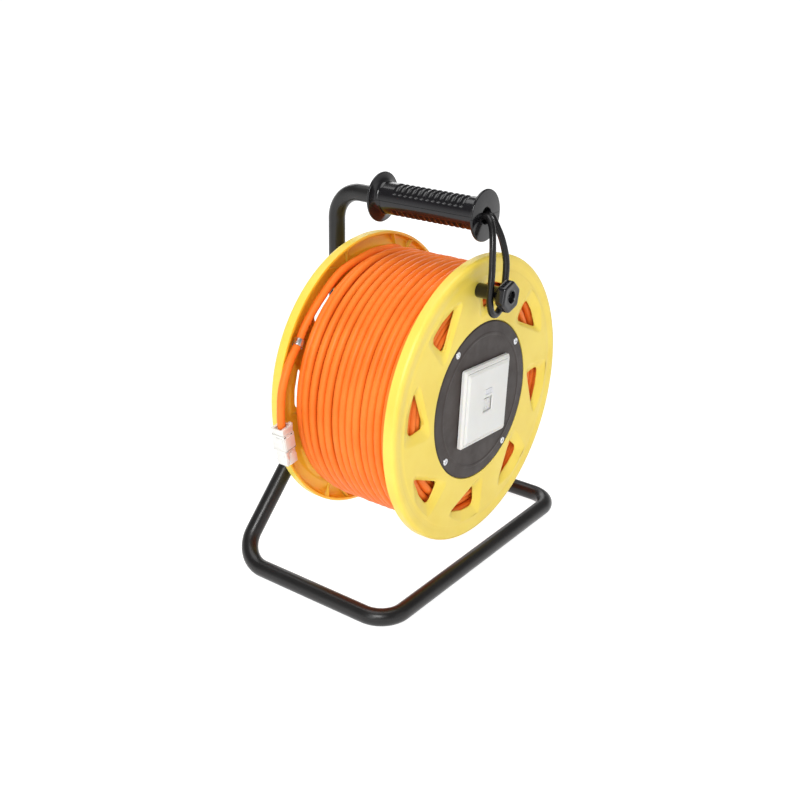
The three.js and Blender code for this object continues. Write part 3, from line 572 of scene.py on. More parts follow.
teeth = [block(-5.4 + 2.16 * k, -4.1 + 2.16 * k, -7.6, -6.4, 4.3, 5.3) for k in range(5)]
jack_cap = jack_part("jack_rear_cap", [
    block(-6.6, 6.6, -7.5, 7.5, -2.3, 1.2),
    block(-6.9, 6.9, -7.8, -4.6, 0.9, 4.5),
    block(-6.9, 6.9, 4.6, 7.8, 0.9, 3.9),
    block(-6.9, -5.2, -5.0, 5.0, 0.9, 3.6),
    block(5.2, 6.9, -5.0, 5.0, 0.9, 4.4),
    block(4.6, 8.0, -7.2, -3.2, 2.4, 6.2),
    *teeth,
], JACK, ("jack_cap",), bevel=0.3)
jack_body = jack_part("jack_housing", [
    block(-7.2, 7.2, -8.0, 8.0, -20.0, -2.6),
    block(-6.3, 6.3, -8.75, -7.6, -18.6, -4.6),
    block(-7.9, -6.8, -6.2, 2.0, -17.6, -5.0),
    block(6.8, 7.95, -4.6, 4.4, -15.0, -9.0),
    block(7.0, 8.3, -6.6, -5.2, -12.0, -10.4),
    block(7.0, 8.3, -6.6, -5.2, -8.0, -6.6),
    block(7.0, 8.3, -6.6, -5.2, -4.8, -3.6),
    block(-6.0, 6.0, 7.6, 8.6, -18.0, -5.0),
    block(-7.6, 7.6, -7.9, 7.9, -20.4, -18.9),
], JACK, ("jack_body",), bevel=0.4)
# the small plates are painted shade standing for the housing's slots; the thin strip across the foot of the front
# panel is drawn in the same dark
jack_slot_shade_and_line = jack_part("jack_slot_shade_and_line", [
    block(-6.9, -5.9, -8.2, -7.9, -4.2, -3.3),
    block(-5.3, -4.3, -8.2, -7.9, -4.2, -3.3),
    block(2.6, 4.8, -8.2, -7.9, -3.9, -3.2),
    block(-6.4, 6.4, -8.82, -8.70, -18.75, -18.4),
], DARK_SLOT_SHADE_AND_LINE, slot="jack_metal", bevel=0.0)
jack_port = jack_part("jack_front", [
    tray(-6.6, 6.6, -7.0, 5.6, -36.0, -20.5, 1.2, -24.0),
    plate([(-7.1, -20.6), (-7.1, -25.4), (-5.6, -27.6), (-5.0, -30.6), (-3.9, -31.6), (-3.0, -29.0), (-3.0, -20.6)],
          -7.9, -6.8),
    plate([(-2.4, -23.4), (2.2, -22.2), (4.8, -23.6), (6.9, -27.0), (6.9, -35.8), (-2.7, -35.8)], -7.75, -6.8),
    block(6.4, 7.3, -5.2, 3.6, -26.0, -20.6),
    block(6.4, 7.5, -6.2, -5.0, -32.6, -31.2),
    block(-7.2, -6.4, -4.6, 3.6, -26.0, -20.6),
], JACK, ("jack_port",), bevel=0.25)
contact_parts = [block(-3.9 + 1.02 * k, -3.5 + 1.02 * k, -5.2, -3.4, -34.6, -24.6) for k in range(8)]
jack_contacts = jack_part("jack_contacts", contact_parts, GOLD, slot="jack_metal", bevel=0.05)
jack_latch = jack_part("jack_catch", [
    block(-4.4, 4.4, 5.9, 6.7, -33.0, -20.4),
    block(-4.4, 4.4, 5.9, 8.5, -34.0, -32.6),
    block(-1.0, 1.0, 6.5, 7.6, -32.8, -22.0),
], WHITE, ("jack_latch",), bevel=0.2)


# ---------- tail clip ----------
clip_at = TAIL_ROUTE[6]
near = min(range(len(cable_line)), key=lambda i: (cable_line[i] - clip_at).length)
clip_dir = (cable_line[near + 1] - cable_line[near - 1]).normalized()
clip_turn = clip_dir.to_track_quat("Y", "Z")


def ring_profile(profile, segments, turn, centre, closed=True):
    rows = turned_rows(profile, segments, 0, 0)
    rows = [[tuple(centre + turn @ Vector(p)) for p in row] for row in rows]
    return lattice(rows, wrap_rows=closed)


band_profile = [(4.85, -3.5), (5.35, -3.6), (5.6, -3.3), (5.6, 3.3), (5.35, 3.6), (4.85, 3.5), (4.75, 0)]
foot = spin_points([(x, y, AXIS_Z + z) for x, y, z in [
    (116, 58.3, -3.0), (117, 58.3, -3.8), (126.5, 58.3, -3.8), (126.5, 58.3, 3.8), (117, 58.3, 3.8), (116, 58.3, 3.0),
    (116, 59.1, -3.0), (117, 59.1, -3.8), (126.5, 59.1, -3.8), (126.5, 59.1, 3.8), (117, 59.1, 3.8), (116, 59.1, 3.0),
]], CLIP_ANGLE)
foot_faces = [(0, 1, 2, 3, 4, 5), (6, 7, 8, 9, 10, 11)] + [(i, (i + 1) % 6, 6 + (i + 1) % 6, 6 + i) for i in range(6)]
verts, faces = joined([ring_profile(band_profile, 40, clip_turn, clip_at), (foot, foot_faces)])
make("cable_clip", verts, faces, "drum", STEEL, ("tail_clip",), bevel=0.12)


def cross_screw(name, x, y, z, radius, body, stands_for, up=Vector((0, -1, 0)), shank=8.0, dome=0.9, spin=0.0,
                mat=None, countersunk=True):
    """A cross-recess screw; up points out of its head, whose outer edge stands at y."""
    n = 32
    rings = []
    profile = [(0.16, dome * 0.97), (0.35, dome * 0.92), (0.58, dome * 0.75), (0.8, dome * 0.42), (0.93, dome * 0.14),
               (1.0, -0.12 * radius)]
    profile += [(0.5, -0.62 * radius), (0.44, -shank)] if countersunk else [(1.0, -0.5), (0.45, -0.55), (0.44, -shank)]
    for f, h in profile:
        rings.append([(f * radius * math.cos(a), f * radius * math.sin(a), h)
                      for a in np.arange(n) * 2 * math.pi / n])
    rows = [np.asarray(r) for r in rings]
    verts, faces = lattice(rows)
    screw = raw(name, verts, faces)
    arm, deep = radius * 0.56, 1.3
    for k in range(2):
        w = radius * 0.13
        top = [(-arm, -w), (arm, -w), (arm, w), (-arm, w)]
        low = [(-arm * 0.45, -w * 0.6), (arm * 0.45, -w * 0.6), (arm * 0.45, w * 0.6), (-arm * 0.45, w * 0.6)]
        if k:
            top, low = [(-q, p) for p, q in top], [(-q, p) for p, q in low]
        cutter = raw("cut", *lattice([[(p, q, -deep) for p, q in low], [(p, q, dome + 0.6) for p, q in top]]))
        boolean(screw, [cutter], "DIFFERENCE")
    turn = up.to_track_quat("Z", "Y") @ Quaternion((0, 0, 1), math.radians(spin))
    screw.data.transform(Matrix.Translation(Vector((x, y, z)) * MM) @ turn.to_matrix().to_4x4())
    return settle(screw, body, mat or STEEL, stands_for, angle=32)


cx, cz = polar(CLIP_R, CLIP_ANGLE)
cross_screw("clip_screw", cx, 57.6, AXIS_Z + cz, 3.2, "drum", ("tail_clip_screw",), shank=4.2, dome=1.3, spin=20,
            countersunk=False)


# ---------- tube stand ----------
def bent(corners, radii, steps=18):
    pts = [Vector(c) for c in corners]
    out = [pts[0]]
    for i, radius in enumerate(radii, start=1):
        p = pts[i]
        a, b = (pts[i - 1] - p).normalized(), (pts[i + 1] - p).normalized()
        half = a.angle(b) / 2
        cut = radius / math.tan(half)
        middle = p + (a + b).normalized() * radius / math.sin(half)
        start, end = p + a * cut - middle, p + b * cut - middle
        sweep = start.angle(end)
        for k in range(steps + 1):
            t = k / steps
            out.append(middle + (start * math.sin((1 - t) * sweep) + end * math.sin(t * sweep)) / math.sin(sweep))
    out.append(pts[-1])
    return out


SLOPE = (APEX_Z - TUBE_R) / FOOT_X
LEG_CUT = 8.9
leg_end = [Vector((s * LEG_CUT, STAND_Y, APEX_Z - LEG_CUT * SLOPE)) for s in (-1, 1)]
foot_line = bent(
    [leg_end[0], (-FOOT_X, STAND_Y, TUBE_R), (-FOOT_X, FOOT_FRONT, TUBE_R), (FOOT_X, FOOT_FRONT, TUBE_R),
     (FOOT_X, STAND_Y, TUBE_R), leg_end[1]],
    [32, 26, 26, 32],
)
rows = sweep_rows(foot_line, TUBE_R, 40)
for row, end, s in ((0, leg_end[0], -1), (-1, leg_end[1], 1)):
    along = Vector((1, 0, -s * SLOPE)).normalized()
    moved = [Vector(p) + along * ((s * LEG_CUT - p[0]) / along.x) for p in rows[row]]
    rows[row] = [tuple(p) for p in moved]
make("foot_tube", *lattice(rows), "frame", TUBE, ("stand_tube",), angle=50)

post_line = bent([(0, STAND_Y, 146), (0, STAND_Y, HANDLE_Z), (0, -72.5, HANDLE_Z)], [30], 24)
rows = sweep_rows(post_line, TUBE_R, 40)
mouth = [(Vector(p) - post_line[-1]) * (TUBE_R - TUBE_WALL) / TUBE_R for p in rows[-1]]
bore = [[tuple(post_line[-1] + p + Vector((0, deep, 0))) for p in mouth] for deep in (0, BORE_DEPTH)]
make("carrying_tube", *lattice(rows + bore), "frame", TUBE, ("handle_tube",), angle=50)

plug = [(0.3, 140), (6.6, 140), (7.6, 140.4), (8.3, 141.2), (8.3, 145.0), (8.0, 145.7), (0.3, 145.7)]
a = np.arange(40) * 2 * math.pi / 40
rows = [np.stack([r * np.cos(a), STAND_Y + r * np.sin(a), np.full(40, z)], 1) for r, z in plug]
make("tube_plug", *lattice(rows), "frame", HUB, ("post_plug",))


def weld(name, centre, axis, across, up, rx, rz, bead, seed):
    """A rippled bead round an elliptic joint."""
    local = np.random.default_rng(seed)
    n = 140
    ripple = 1 + 0.10 * np.sin(np.arange(n) * 2 * math.pi * 30 / n) + 0.05 * local.standard_normal(n)
    line = [centre + across * rx * math.cos(t) + up * rz * math.sin(t) for t in np.arange(n) * 2 * math.pi / n]
    rows = []
    for i, p in enumerate(line):
        out = (p - centre).normalized()
        r = bead * ripple[i]
        rows.append([tuple(p + (out * math.cos(b) + axis * math.sin(b)) * r)
                     for b in np.arange(10) * 2 * math.pi / 10])
    return make(name, *lattice(rows, wrap_rows=True), "frame", TUBE, angle=60)


for s, side in ((-1, "left"), (1, "right")):
    along = Vector((1, 0, -s * SLOPE)).normalized()
    weld(f"leg_weld_{side}", leg_end[(s + 1) // 2] + Vector((s * 0.2, 0, 0)), Vector((1, 0, 0)), Vector((0, 1, 0)),
         Vector((0, 0, 1)), TUBE_R * 0.93, TUBE_R / abs(along.x) * 0.96, 1.5, 11 + s)


# ---------- axle ----------
PLATE_FRONT = STAND_Y - TUBE_R - 0.3 - 3
turned("hub_plate", [(6.3, PLATE_FRONT), (37.2, PLATE_FRONT), (38, PLATE_FRONT + 0.6), (38, PLATE_FRONT + 2.4),
                     (37.2, PLATE_FRONT + 3), (6.3, PLATE_FRONT + 3)], 72, "frame", TUBE, closed=True,
       stands_for=("axle_plate",))
for k, x in enumerate((-1, 1)):
    bead = [Vector((x * 5.6, PLATE_FRONT + 3.3, AXIS_Z + z)) for z in np.linspace(-31, 31, 60)]
    radii = [1.7 + 0.22 * math.sin(i * 1.4) + 0.1 * math.sin(i * 3.1) for i in range(60)]
    radii[0] = radii[-1] = 0.5
    make(f"post_weld_{k + 1}", *lattice(sweep_rows(bead, radii, 12)), "frame", TUBE, angle=60)
turned("axle_pin", [
    (0.3, -14), (7, -14), (8, -13), (8, -10), (6.5, -10), (6.5, -8.4), (8, -8.4), (8, 68.6), (12.4, 68.6),
    (13, 69.2), (13, 88.9), (12.4, 89.5), (6, 89.5), (6, 95), (5.6, 95.4), (5.6, 110), (6, 110.4),
    (6, 116), (5.0, 117), (0.3, 117),
], 56, "frame", STEEL, stands_for=("axle",))
turned("nut_washer", [(6.3, 110.4), (11.6, 110.4), (12, 110.7), (12, 111.5), (11.6, 111.8), (6.3, 111.8)], 56, "frame",
       STEEL, closed=True, stands_for=("axle_washer_back",))


def hexagon_nut(name, y0, y1, across, bore, body, mat, stands_for, spin=0.0):
    """A hexagon nut with chamfered corners, along Y."""
    n = 96
    a = np.arange(n) * 2 * math.pi / n
    flat = across * math.cos(math.pi / 6)
    hexr = flat / np.cos((a - math.radians(spin) + math.pi / 6) % (math.pi / 3) - math.pi / 6)
    rows = []
    for y, cap in ((y0, flat * 0.97), (y0 + 0.9, across * 1.01), (y1 - 0.9, across * 1.01), (y1, flat * 0.97)):
        r = np.minimum(hexr, cap)
        rows.append(np.stack([r * np.cos(a), np.full(n, y), AXIS_Z + r * np.sin(a)], 1))
    rows += turned_rows([(bore, y1), (bore, y0)], n)
    return make(name, *lattice(rows, wrap_rows=True), body, mat, stands_for, angle=30)


hexagon_nut("end_nut", 112.1, 116.8, 10.4, 6.3, "frame", STEEL, ("axle_nut",), 8)
turned("front_washer", [(8.3, -8.0), (14.6, -8.0), (15, -7.6), (15, -6.8), (14.6, -6.4), (8.3, -6.4)], 56,
       "frame", STEEL, closed=True, stands_for=("axle_washer_front",))


# ---------- grip ----------
GRIP_FRONT, GRIP_BACK = -76.0, 45.0
GRIP_R, GRIP_END = 15.5, 24.3
RIBS = 13
RIB_FIRST, RIB_STEP = 25.5, 6.35


def grip_outer(y):
    """Outer radius of the grip away from its ribs."""
    d = min(y - GRIP_FRONT, GRIP_BACK - y)
    if d < 2.6:
        edge = 1.1
        if d < edge:
            return GRIP_END - edge + math.sqrt(max(edge ** 2 - (edge - d) ** 2, 0))
        e = d - (2.6 - 0.9)
        return GRIP_END - (0.9 - math.sqrt(max(0.81 - e ** 2, 0)) if e > 0 else 0)
    t = (d - 2.6) / 5.6
    if t < 1:
        return GRIP_R + 1.0 + (GRIP_END - 1.9 - GRIP_R) * (1 - t) ** 3.4 - 1.0 * smooth(t)
    return GRIP_R


def grip_depth(y, angle):
    """How far a groove of the rib bands cuts in, angle from the top or bottom centre in degrees."""
    s = y - GRIP_BACK + RIB_FIRST
    k = round(-s / RIB_STEP)
    if k < 0 or k >= RIBS:
        return 0.0
    across = abs(s + k * RIB_STEP) / (RIB_STEP * 0.42)
    edge = smooth((64 - abs(angle)) / 9)
    return 1.7 * float(edge) * max(0.0, 1 - across ** 2.6) if across < 1 else 0.0


ys = [GRIP_FRONT + v for v in (0, 0.08, 0.3, 0.65, 1.1, 1.7, 2.0, 2.3, 2.5, 2.6)]
ys += [GRIP_FRONT + 2.6 + 5.6 * v for v in (0.04, 0.1, 0.18, 0.28, 0.4, 0.55, 0.75, 1.0)]
ys += list(np.arange(GRIP_FRONT + 9.2, GRIP_BACK - 8.8, 0.62))
ys += [GRIP_FRONT + GRIP_BACK - v for v in ys[:18]][::-1]


def grip_half(side):
    """The upper (side 1) or lower (-1) shell, open at the parting plane along its bore."""
    outer_n, inner_n = 72, 28
    rows = []
    for y in ys:
        bore = 8.8
        if y < GRIP_FRONT + 3.2:
            bore = 7.4 + 0.8 * max(0.0, 1 - (y - GRIP_FRONT) / 0.9)
        lift = 0.15 * side
        ring = []
        for a in np.linspace(0, math.pi, outer_n + 1):
            r = grip_outer(y) - grip_depth(y, math.degrees(a) - 90)
            ring.append((r * math.cos(a), y, HANDLE_Z + lift + side * r * math.sin(a)))
        for a in np.linspace(math.pi, 0, inner_n + 1):
            ring.append((bore * math.cos(a), y, HANDLE_Z + lift + side * bore * math.sin(a)))
        rows.append(ring)
    return lattice(rows)


for side, label in ((1, "upper"), (-1, "lower")):
    half = raw(f"grip_{label}_half", *grip_half(side))
    if side < 0:
        wells = []
        for y in (GRIP_FRONT + 15, GRIP_BACK - 15):
            rows = [[(3.4 * math.cos(t), y + 3.4 * math.sin(t), z) for t in np.arange(32) * math.pi / 16]
                    for z in (HANDLE_Z - GRIP_R - 8, HANDLE_Z - GRIP_R + 2.4)]
            wells.append(raw("well", *lattice(rows)))
        boolean(half, wells, "DIFFERENCE")
    settle(half, "frame", GRIP, (f"grip_{label}",), angle=34)
for i, y in enumerate((GRIP_FRONT + 15, GRIP_BACK - 15)):
    cross_screw(f"grip_screw_{i + 1}_head", 0, y, HANDLE_Z - GRIP_R + 0.6, 2.9, "frame", (f"grip_screw_{i + 1}",),
                up=Vector((0, 0, -1)), shank=1.6, dome=0.8, spin=25 + 40 * i, countersunk=False)
turned("loop_stopper", [(0.3, -71), (6.2, -71), (6.6, -70.6), (6.6, -60.4), (6.2, -60), (0.3, -60)], 40,
       "frame", HUB, z=HANDLE_Z, stands_for=("loop_plug",))


# ---------- flanges ----------
FACE = RIM_FRONT + 2.5
INNER = FACE + 3
LIP = RIM_FRONT + 12
SECTOR = 360.0 / WINDOWS
SECTOR_START = -31.5
LIFT = 1.9          # the front flange's face stands this much further forward, nearly flush with its rim


def patch(corners, rounding):
    """A closed outline on the flange face through (radius, degrees) corners."""
    return fillet([polar(*c) for c in corners], rounding, 8, closed=True)


WINDOW = patch([(92.0, -1), (117.5, 0.5), (116.8, -10), (115.4, -21.0)], [5, 8, 14, 1.6])
RECESS = patch([(84, 8), (130, 3.2), (127.5, -12), (119.5, -27)], [8, 9, 6, 6])
BOSS = patch([(90.4, 2.5), (127.5, 3.4), (126.5, -10), (121.5, -25.6)], [5, 9, 20, 4])
COLLAR = patch([(90.8, 0.9), (122.5, 1.8), (121.8, -10), (118.2, -23.0)], [5, 9, 20, 3])


def resampled(outline, step):
    pts = np.asarray(outline + outline[:1], float)
    seg = np.hypot(*np.diff(pts, axis=0).T)
    total = seg.sum()
    n = max(8, round(total / step))
    at = np.concatenate([[0], np.cumsum(seg)])
    s = np.arange(n) * total / n
    return np.stack([np.interp(s, at, pts[:, 0]), np.interp(s, at, pts[:, 1])], 1)


def distance_to(outline, points):
    """Distance of each point to the closed outline, less than 0 inside it."""
    o = np.asarray(outline, float)
    a, b = o, np.roll(o, -1, 0)
    ab = b - a
    ap = points[:, None, :] - a[None]
    t = np.clip((ap * ab).sum(2) / np.maximum((ab ** 2).sum(1), 1e-12), 0, 1)
    d = np.sqrt(((ap - ab * t[..., None]) ** 2).sum(2)).min(1)
    x, z = points[:, 0][:, None], points[:, 1][:, None]
    crosses = ((a[:, 1] > z) != (b[:, 1] > z)) & (
        x < (b[:, 0] - a[:, 0]) * (z - a[:, 1]) / np.where(b[:, 1] == a[:, 1], 1e-12, b[:, 1] - a[:, 1]) + a[:, 0])
    inside = crosses.sum(1) % 2 == 1
    return np.where(inside, -d, d)


def knee(f, k=0.16):
    """A straight ramp from 0 to 1 with rounded ends."""
    f = np.clip(f, 0, 1)
    top = 1 - k
    late = (top - k / 2) + (f - top) - (f - top) ** 2 / (2 * k)
    return np.where(f < k, f * f / (2 * k), np.where(f > top, late, f - k / 2)) / (1 - k)


def offset_ring(outline, d):
    """The outline moved outwards by d, on its own normals."""
    o = np.asarray(outline, float)
    t = np.roll(o, -1, 0) - np.roll(o, 1, 0)
    t /= np.maximum(np.hypot(t[:, 0], t[:, 1]), 1e-9)[:, None]
    n = np.stack([t[:, 1], -t[:, 0]], 1)
    area = (o[:, 0] * np.roll(o[:, 1], -1) - o[:, 1] * np.roll(o[:, 0], -1)).sum()
    return o + n * d * (1 if area > 0 else -1)


def face_sector(r0, r1):
    """Triangles of one sector of a flange face with its window left open."""
    edge = resampled(WINDOW, 1.0)
    n_arc = 60
    a0 = SECTOR_START
    points, border = [], []
    radii = np.linspace(r0, r1, 27)
    for r in radii:
        border.append(polar(r, a0))
    for k in range(1, n_arc + 1):
        border.append(polar(r1, a0 + SECTOR * k / n_arc))
    for r in radii[::-1][1:]:
        border.append(polar(r, a0 + SECTOR))
    for k in range(1, n_arc):
        border.append(polar(r0, a0 + SECTOR * (1 - k / n_arc)))
    points.append(np.asarray(border))
    points.append(edge)
    loose = []
    for d in (0.35, 0.75, 1.2, 1.9):
        loose.append(offset_ring(edge, d))
    for outline in (RECESS, BOSS, COLLAR):
        base = resampled(outline, 1.7)
        for d in (-1.1, 0.0, 1.1):
            loose.append(offset_ring(base, d))
    grid = []
    for i, r in enumerate(np.arange(r0 + 1.4, r1 - 0.8, 1.8)):
        count = int(math.radians(SECTOR) * r / 1.9)
        for k in range(1, count):
            grid.append(polar(r, a0 + SECTOR * (k + 0.5 * (i % 2)) / (count + 0.5)))
    loose.append(np.asarray(grid))
    loose = np.concatenate(loose)
    r = np.hypot(loose[:, 0], loose[:, 1])
    a = np.degrees(np.arctan2(loose[:, 1], loose[:, 0]))
    side = np.minimum(a - a0, a0 + SECTOR - a)
    keep = (r > r0 + 0.7) & (r < r1 - 0.7) & (side > 0.45) & (distance_to(edge, loose) > 0.25)
    loose = loose[keep]
    chosen = []
    cells = {}
    for p in loose:
        key = (int(p[0] // 0.8), int(p[1] // 0.8))
        near = [q for i in (-1, 0, 1) for j in (-1, 0, 1) for q in cells.get((key[0] + i, key[1] + j), ())]
        limit = 0.3 if distance_to(edge, p[None])[0] < 2.2 else 0.62
        if all((p[0] - q[0]) ** 2 + (p[1] - q[1]) ** 2 > limit ** 2 for q in near):
            cells.setdefault(key, []).append(p)
            chosen.append(p)
    points.append(np.asarray(chosen))
    every = np.concatenate(points)
    nb, ne = len(border), len(edge)
    edges = [(i, (i + 1) % nb) for i in range(nb)] + [(nb + i, nb + (i + 1) % ne) for i in range(ne)]
    out = delaunay_2d_cdt([Vector(p) for p in every], edges, [], 1, 1e-7)
    xy = np.asarray([tuple(v) for v in out[0]])
    tris = np.asarray([f for f in out[2] if len(f) == 3])
    middle = xy[tris].mean(1)
    tris = tris[distance_to(edge, middle) > 1e-4]
    order = [int(np.argmin(((xy - p) ** 2).sum(1))) for p in edge]
    return xy, tris, order


R_IN, R_OUT = 80.4, 127.0
sector_xy, sector_tris, sector_edge = face_sector(R_IN, R_OUT)
d_window = distance_to(WINDOW, sector_xy)
d_recess = distance_to(RECESS, sector_xy)
d_boss = distance_to(BOSS, sector_xy)
d_collar = distance_to(COLLAR, sector_xy)
in_recess = np.clip(-d_recess, 0, None)
front_depth = 4.0 * knee(in_recess / np.maximum(in_recess + np.clip(d_window, 0, None), 1e-6), 0.07)
front_depth += 0.55 * np.clip(1 - np.clip(d_window, 0, None) / 0.8, 0, 1) ** 2
in_boss = np.clip(-d_boss, 0, None)
back_rise = 2.4 * knee(in_boss / np.maximum(in_boss + np.clip(d_collar, 0, None), 1e-6), 0.3)
back_rise -= 0.4 * np.clip(1 - np.clip(d_window, 0, None) / 0.8, 0, 1) ** 2


def rim_profile():
    """(radius, y) from the front face round the rim to the inner face."""
    return fillet([
        (R_OUT, FACE), (129.5, FACE - 0.35), (135.5, RIM_FRONT + 0.3), (140, RIM_FRONT), (143, RIM_FRONT + 1.1),
        (FLANGE_R, RIM_FRONT + 3.8), (FLANGE_R, LIP - 0.1), (FLANGE_R - 1.5, LIP), (141, LIP - 0.05),
        (141, RIM_FRONT + 4.6), (137, RIM_FRONT + 3.3), (128.5, INNER), (R_OUT, INNER),
    ], [0, 5, 6, 6, 3, 3, 0.7, 1.0, 0.7, 3, 3, 5, 0], 5)


def flange_mesh(turn, back, hub, lift=0.0):
    """One flange: faces with eight windows, rim, and the (radius, y) hub profile from front face to inner face."""
    place = (lambda y: MIRROR - y) if back else (lambda y: y)
    verts, faces = [], []
    n = len(sector_xy)
    for k in range(WINDOWS):
        a = math.radians(turn + SECTOR * k)
        x = sector_xy[:, 0] * math.cos(a) - sector_xy[:, 1] * math.sin(a)
        z = sector_xy[:, 0] * math.sin(a) + sector_xy[:, 1] * math.cos(a)
        base = len(verts)
        for depth in (FACE - lift + front_depth, INNER - lift + back_rise):
            verts.extend(np.stack([x, depth, AXIS_Z + z], 1).tolist())
        faces.extend((sector_tris + base).tolist())
        faces.extend((sector_tris[:, ::-1] + base + n).tolist())
        m = len(sector_edge)
        for i in range(m):
            p, q = sector_edge[i], sector_edge[(i + 1) % m]
            faces.append((base + p, base + q, base + n + q, base + n + p))
    rim = [(r, y - lift * (1 - float(smooth((r - R_OUT) / 7)))) for r, y in rim_profile()]
    for profile in (rim, hub):
        count = 480
        a = np.radians(turn + SECTOR_START + np.arange(count) * 360 / count)
        rows = [np.stack([r * np.cos(a), np.full(count, y), AXIS_Z + r * np.sin(a)], 1) for r, y in profile]
        v, f = lattice(rows, caps=False)
        base = len(verts)
        verts.extend(v.tolist())
        faces.extend([tuple(i + base for i in face) for face in f])
    verts = np.asarray(verts)
    mesh = bpy.data.meshes.new("flange")
    mesh.from_pydata([tuple(v) for v in verts * MM], [], [tuple(f) for f in faces])
    bm = bmesh.new()
    bm.from_mesh(mesh)
    bmesh.ops.remove_doubles(bm, verts=bm.verts, dist=2e-6)
    bmesh.ops.dissolve_degenerate(bm, edges=bm.edges, dist=1e-7)
    bmesh.ops.recalc_face_normals(bm, faces=bm.faces)
    bm.to_mesh(mesh)
    bm.free()
    co = np.empty(len(mesh.vertices) * 3)
    mesh.vertices.foreach_get("co", co)
    co = co.reshape(-1, 3) / MM
    co[:, 1] = place(co[:, 1])
    out = co.tolist(), [tuple(p.vertices) for p in mesh.polygons]
    bpy.data.meshes.remove(mesh)
    return out


def pillar(r, degrees, radius, y0, y1, bore=0.0, segments=28, draft=0.0):
    x, z = polar(r, degrees)
    ring = [(radius, y0), (radius - draft, y1 - 0.3 * (1 if y1 > y0 else -1)), (radius - draft - 0.3, y1)]
    if bore:
        ring += [(bore, y1), (bore, y0)]
        return lattice(turned_rows(ring, segments, x, AXIS_Z + z), wrap_rows=True)
    return lattice(turned_rows([(0.2, y0)] + ring + [(0.2, y1)], segments, x, AXIS_Z + z))


def web(start, end, thick, y_foot, y_start, y_end):
    """An upright rib between two (radius, degrees) points, its top edge from y_start to y_end."""
    p, q = (Vector((*polar(*v), 0)) for v in (start, end))
    d = (q - p).normalized()
    n = Vector((-d.y, d.x, 0)) * thick / 2
    rows = []
    for t in np.linspace(0, 1, 9):
        c = p.lerp(q, t)
        top = y_start + (y_end - y_start) * t ** 1.6
        soft = 0.25 if top < y_foot else -0.25
        section = ((1.25, y_foot), (-1.25, y_foot), (-1, top + soft), (-0.5, top), (0.5, top), (1, top + soft))
        rows.append([(c.x + n.x * f, y, AXIS_Z + c.y + n.y * f) for f, y in section])
    return lattice(rows)


LEDGE = PANEL_FRONT + 2.9 + 0.3
parts = [flange_mesh(0.0, False, [
    (R_IN, INNER - LIFT), (R_IN - 0.3, INNER), (70, INNER), (70, LEDGE), (R_IN - 0.3, LEDGE),
    (R_IN, LEDGE - 0.3), (R_IN, FACE + 0.3 - LIFT), (R_IN, FACE - LIFT),
], LIFT)]
parts += [pillar(SCREW_R, SCREW_ANGLE + 90 * k, 4.3, LEDGE + 0.5, INNER + 9, 1.9) for k in range(4)]
parts += [pillar(TIE_R, TIE_ANGLE + 90 * k, 6, INNER - 2.0, INNER + 14, 2.9) for k in range(4)]
for k in range(WINDOWS):
    parts.append(web((134.5, 11 + SECTOR * k), (WEB_END, 11 + SECTOR * k), 1.4, INNER - 2.6, INNER + 0.6, LIP - 2.2))
verts, faces = joined(parts)
make("drum_flange_front", verts, faces, "drum", YELLOW, ("front_flange",), angle=42)

kx, kz = KNOB
SEAT = FACE - LIFT
turned("knob_seat", [(4.4, SEAT - 0.05), (7.6, SEAT - 0.05), (7.9, SEAT + 0.3), (7.9, INNER), (4.4, INNER)],
       56, "drum", YELLOW, kx, kz, closed=True, slot="yellow")

BFACE, BINNER = MIRROR - FACE, MIRROR - INNER
parts = [flange_mesh(4.5, True, [
    (R_IN, INNER), (22, INNER), (17.6, INNER + 1.0), (16.2, INNER + 43.6), (15.8, INNER + 44),
    (11.2, INNER + 44), (11, INNER + 43.6), (11, FACE - 0.3), (11.3, FACE - 0.6), (16.7, FACE - 0.6),
    (17.5, FACE - 0.2), (18, FACE), (R_IN, FACE),
])]
for k in range(4):
    parts.append(pillar(TIE_R, TIE_ANGLE + 90 * k, 7, BINNER + 0.5, BINNER - 4, 2.9))
for k in range(WINDOWS):
    at = 15.5 + SECTOR * k
    near_tail = abs((at - 150.5 + 180) % 360 - 180) < 1
    start = 136.0 if near_tail else 126.0
    parts.append(web((start, at), (WEB_END, at), 1.8, BINNER + 0.5, BINNER - 0.8, MIRROR - LIP + 1.2))
    lean = 23.5 + SECTOR * k
    crowded = -10 < (lean - 152) < 42
    if not crowded:
        parts.append(web((129.0, lean), (WEB_END, lean + 6.5), 1.8, BINNER + 0.5, BINNER - 0.8, MIRROR - LIP + 1.2))
for k in range(6):
    a = 60 * k
    parts.append(web((74, a), (16.5, a), 2.0, BINNER + 0.5, BINNER - 0.8, BINNER - 38))
parts.append(pillar(CLIP_R, CLIP_ANGLE, 4.2, BINNER + 0.6, 59.6, 1.5))
verts, faces = joined(parts)
back_flange = make("drum_flange_back", verts, faces, "drum", YELLOW, ("back_flange",), angle=42)
back_flange.data.materials.append(BOUNCE_LIT_YELLOW)
# faces turned to the front or in towards the axis take the painted bounce-light yellow
for face in back_flange.data.polygons:
    out = Vector((face.center.x, face.center.z - AXIS_Z * MM))
    inward = -(face.normal.x * out.x + face.normal.z * out.y) / max(out.length, 1e-6)
    if face.normal.y < -0.3 or (inward > 0.3 and out.length > 0.1):
        face.material_index = 1

turned("drum_barrel", [(CORE_R - 3, INNER + 0.3), (CORE_R, INNER + 0.3), (CORE_R, BINNER - 0.3),
                       (CORE_R - 3, BINNER - 0.3)], 160, "drum", YELLOW, closed=True, stands_for=("drum_core",))

for k in range(4):
    x, z = polar(TIE_R, TIE_ANGLE + 90 * k)
    cross_screw(f"tie_screw_head_{k + 1}", x, BFACE + 0.1, AXIS_Z + z, 4.8, "drum", (f"tie_screw_{k + 1}",),
                up=Vector((0, 1, 0)), shank=130.0, dome=1.5, spin=15 + 37 * k, countersunk=False)

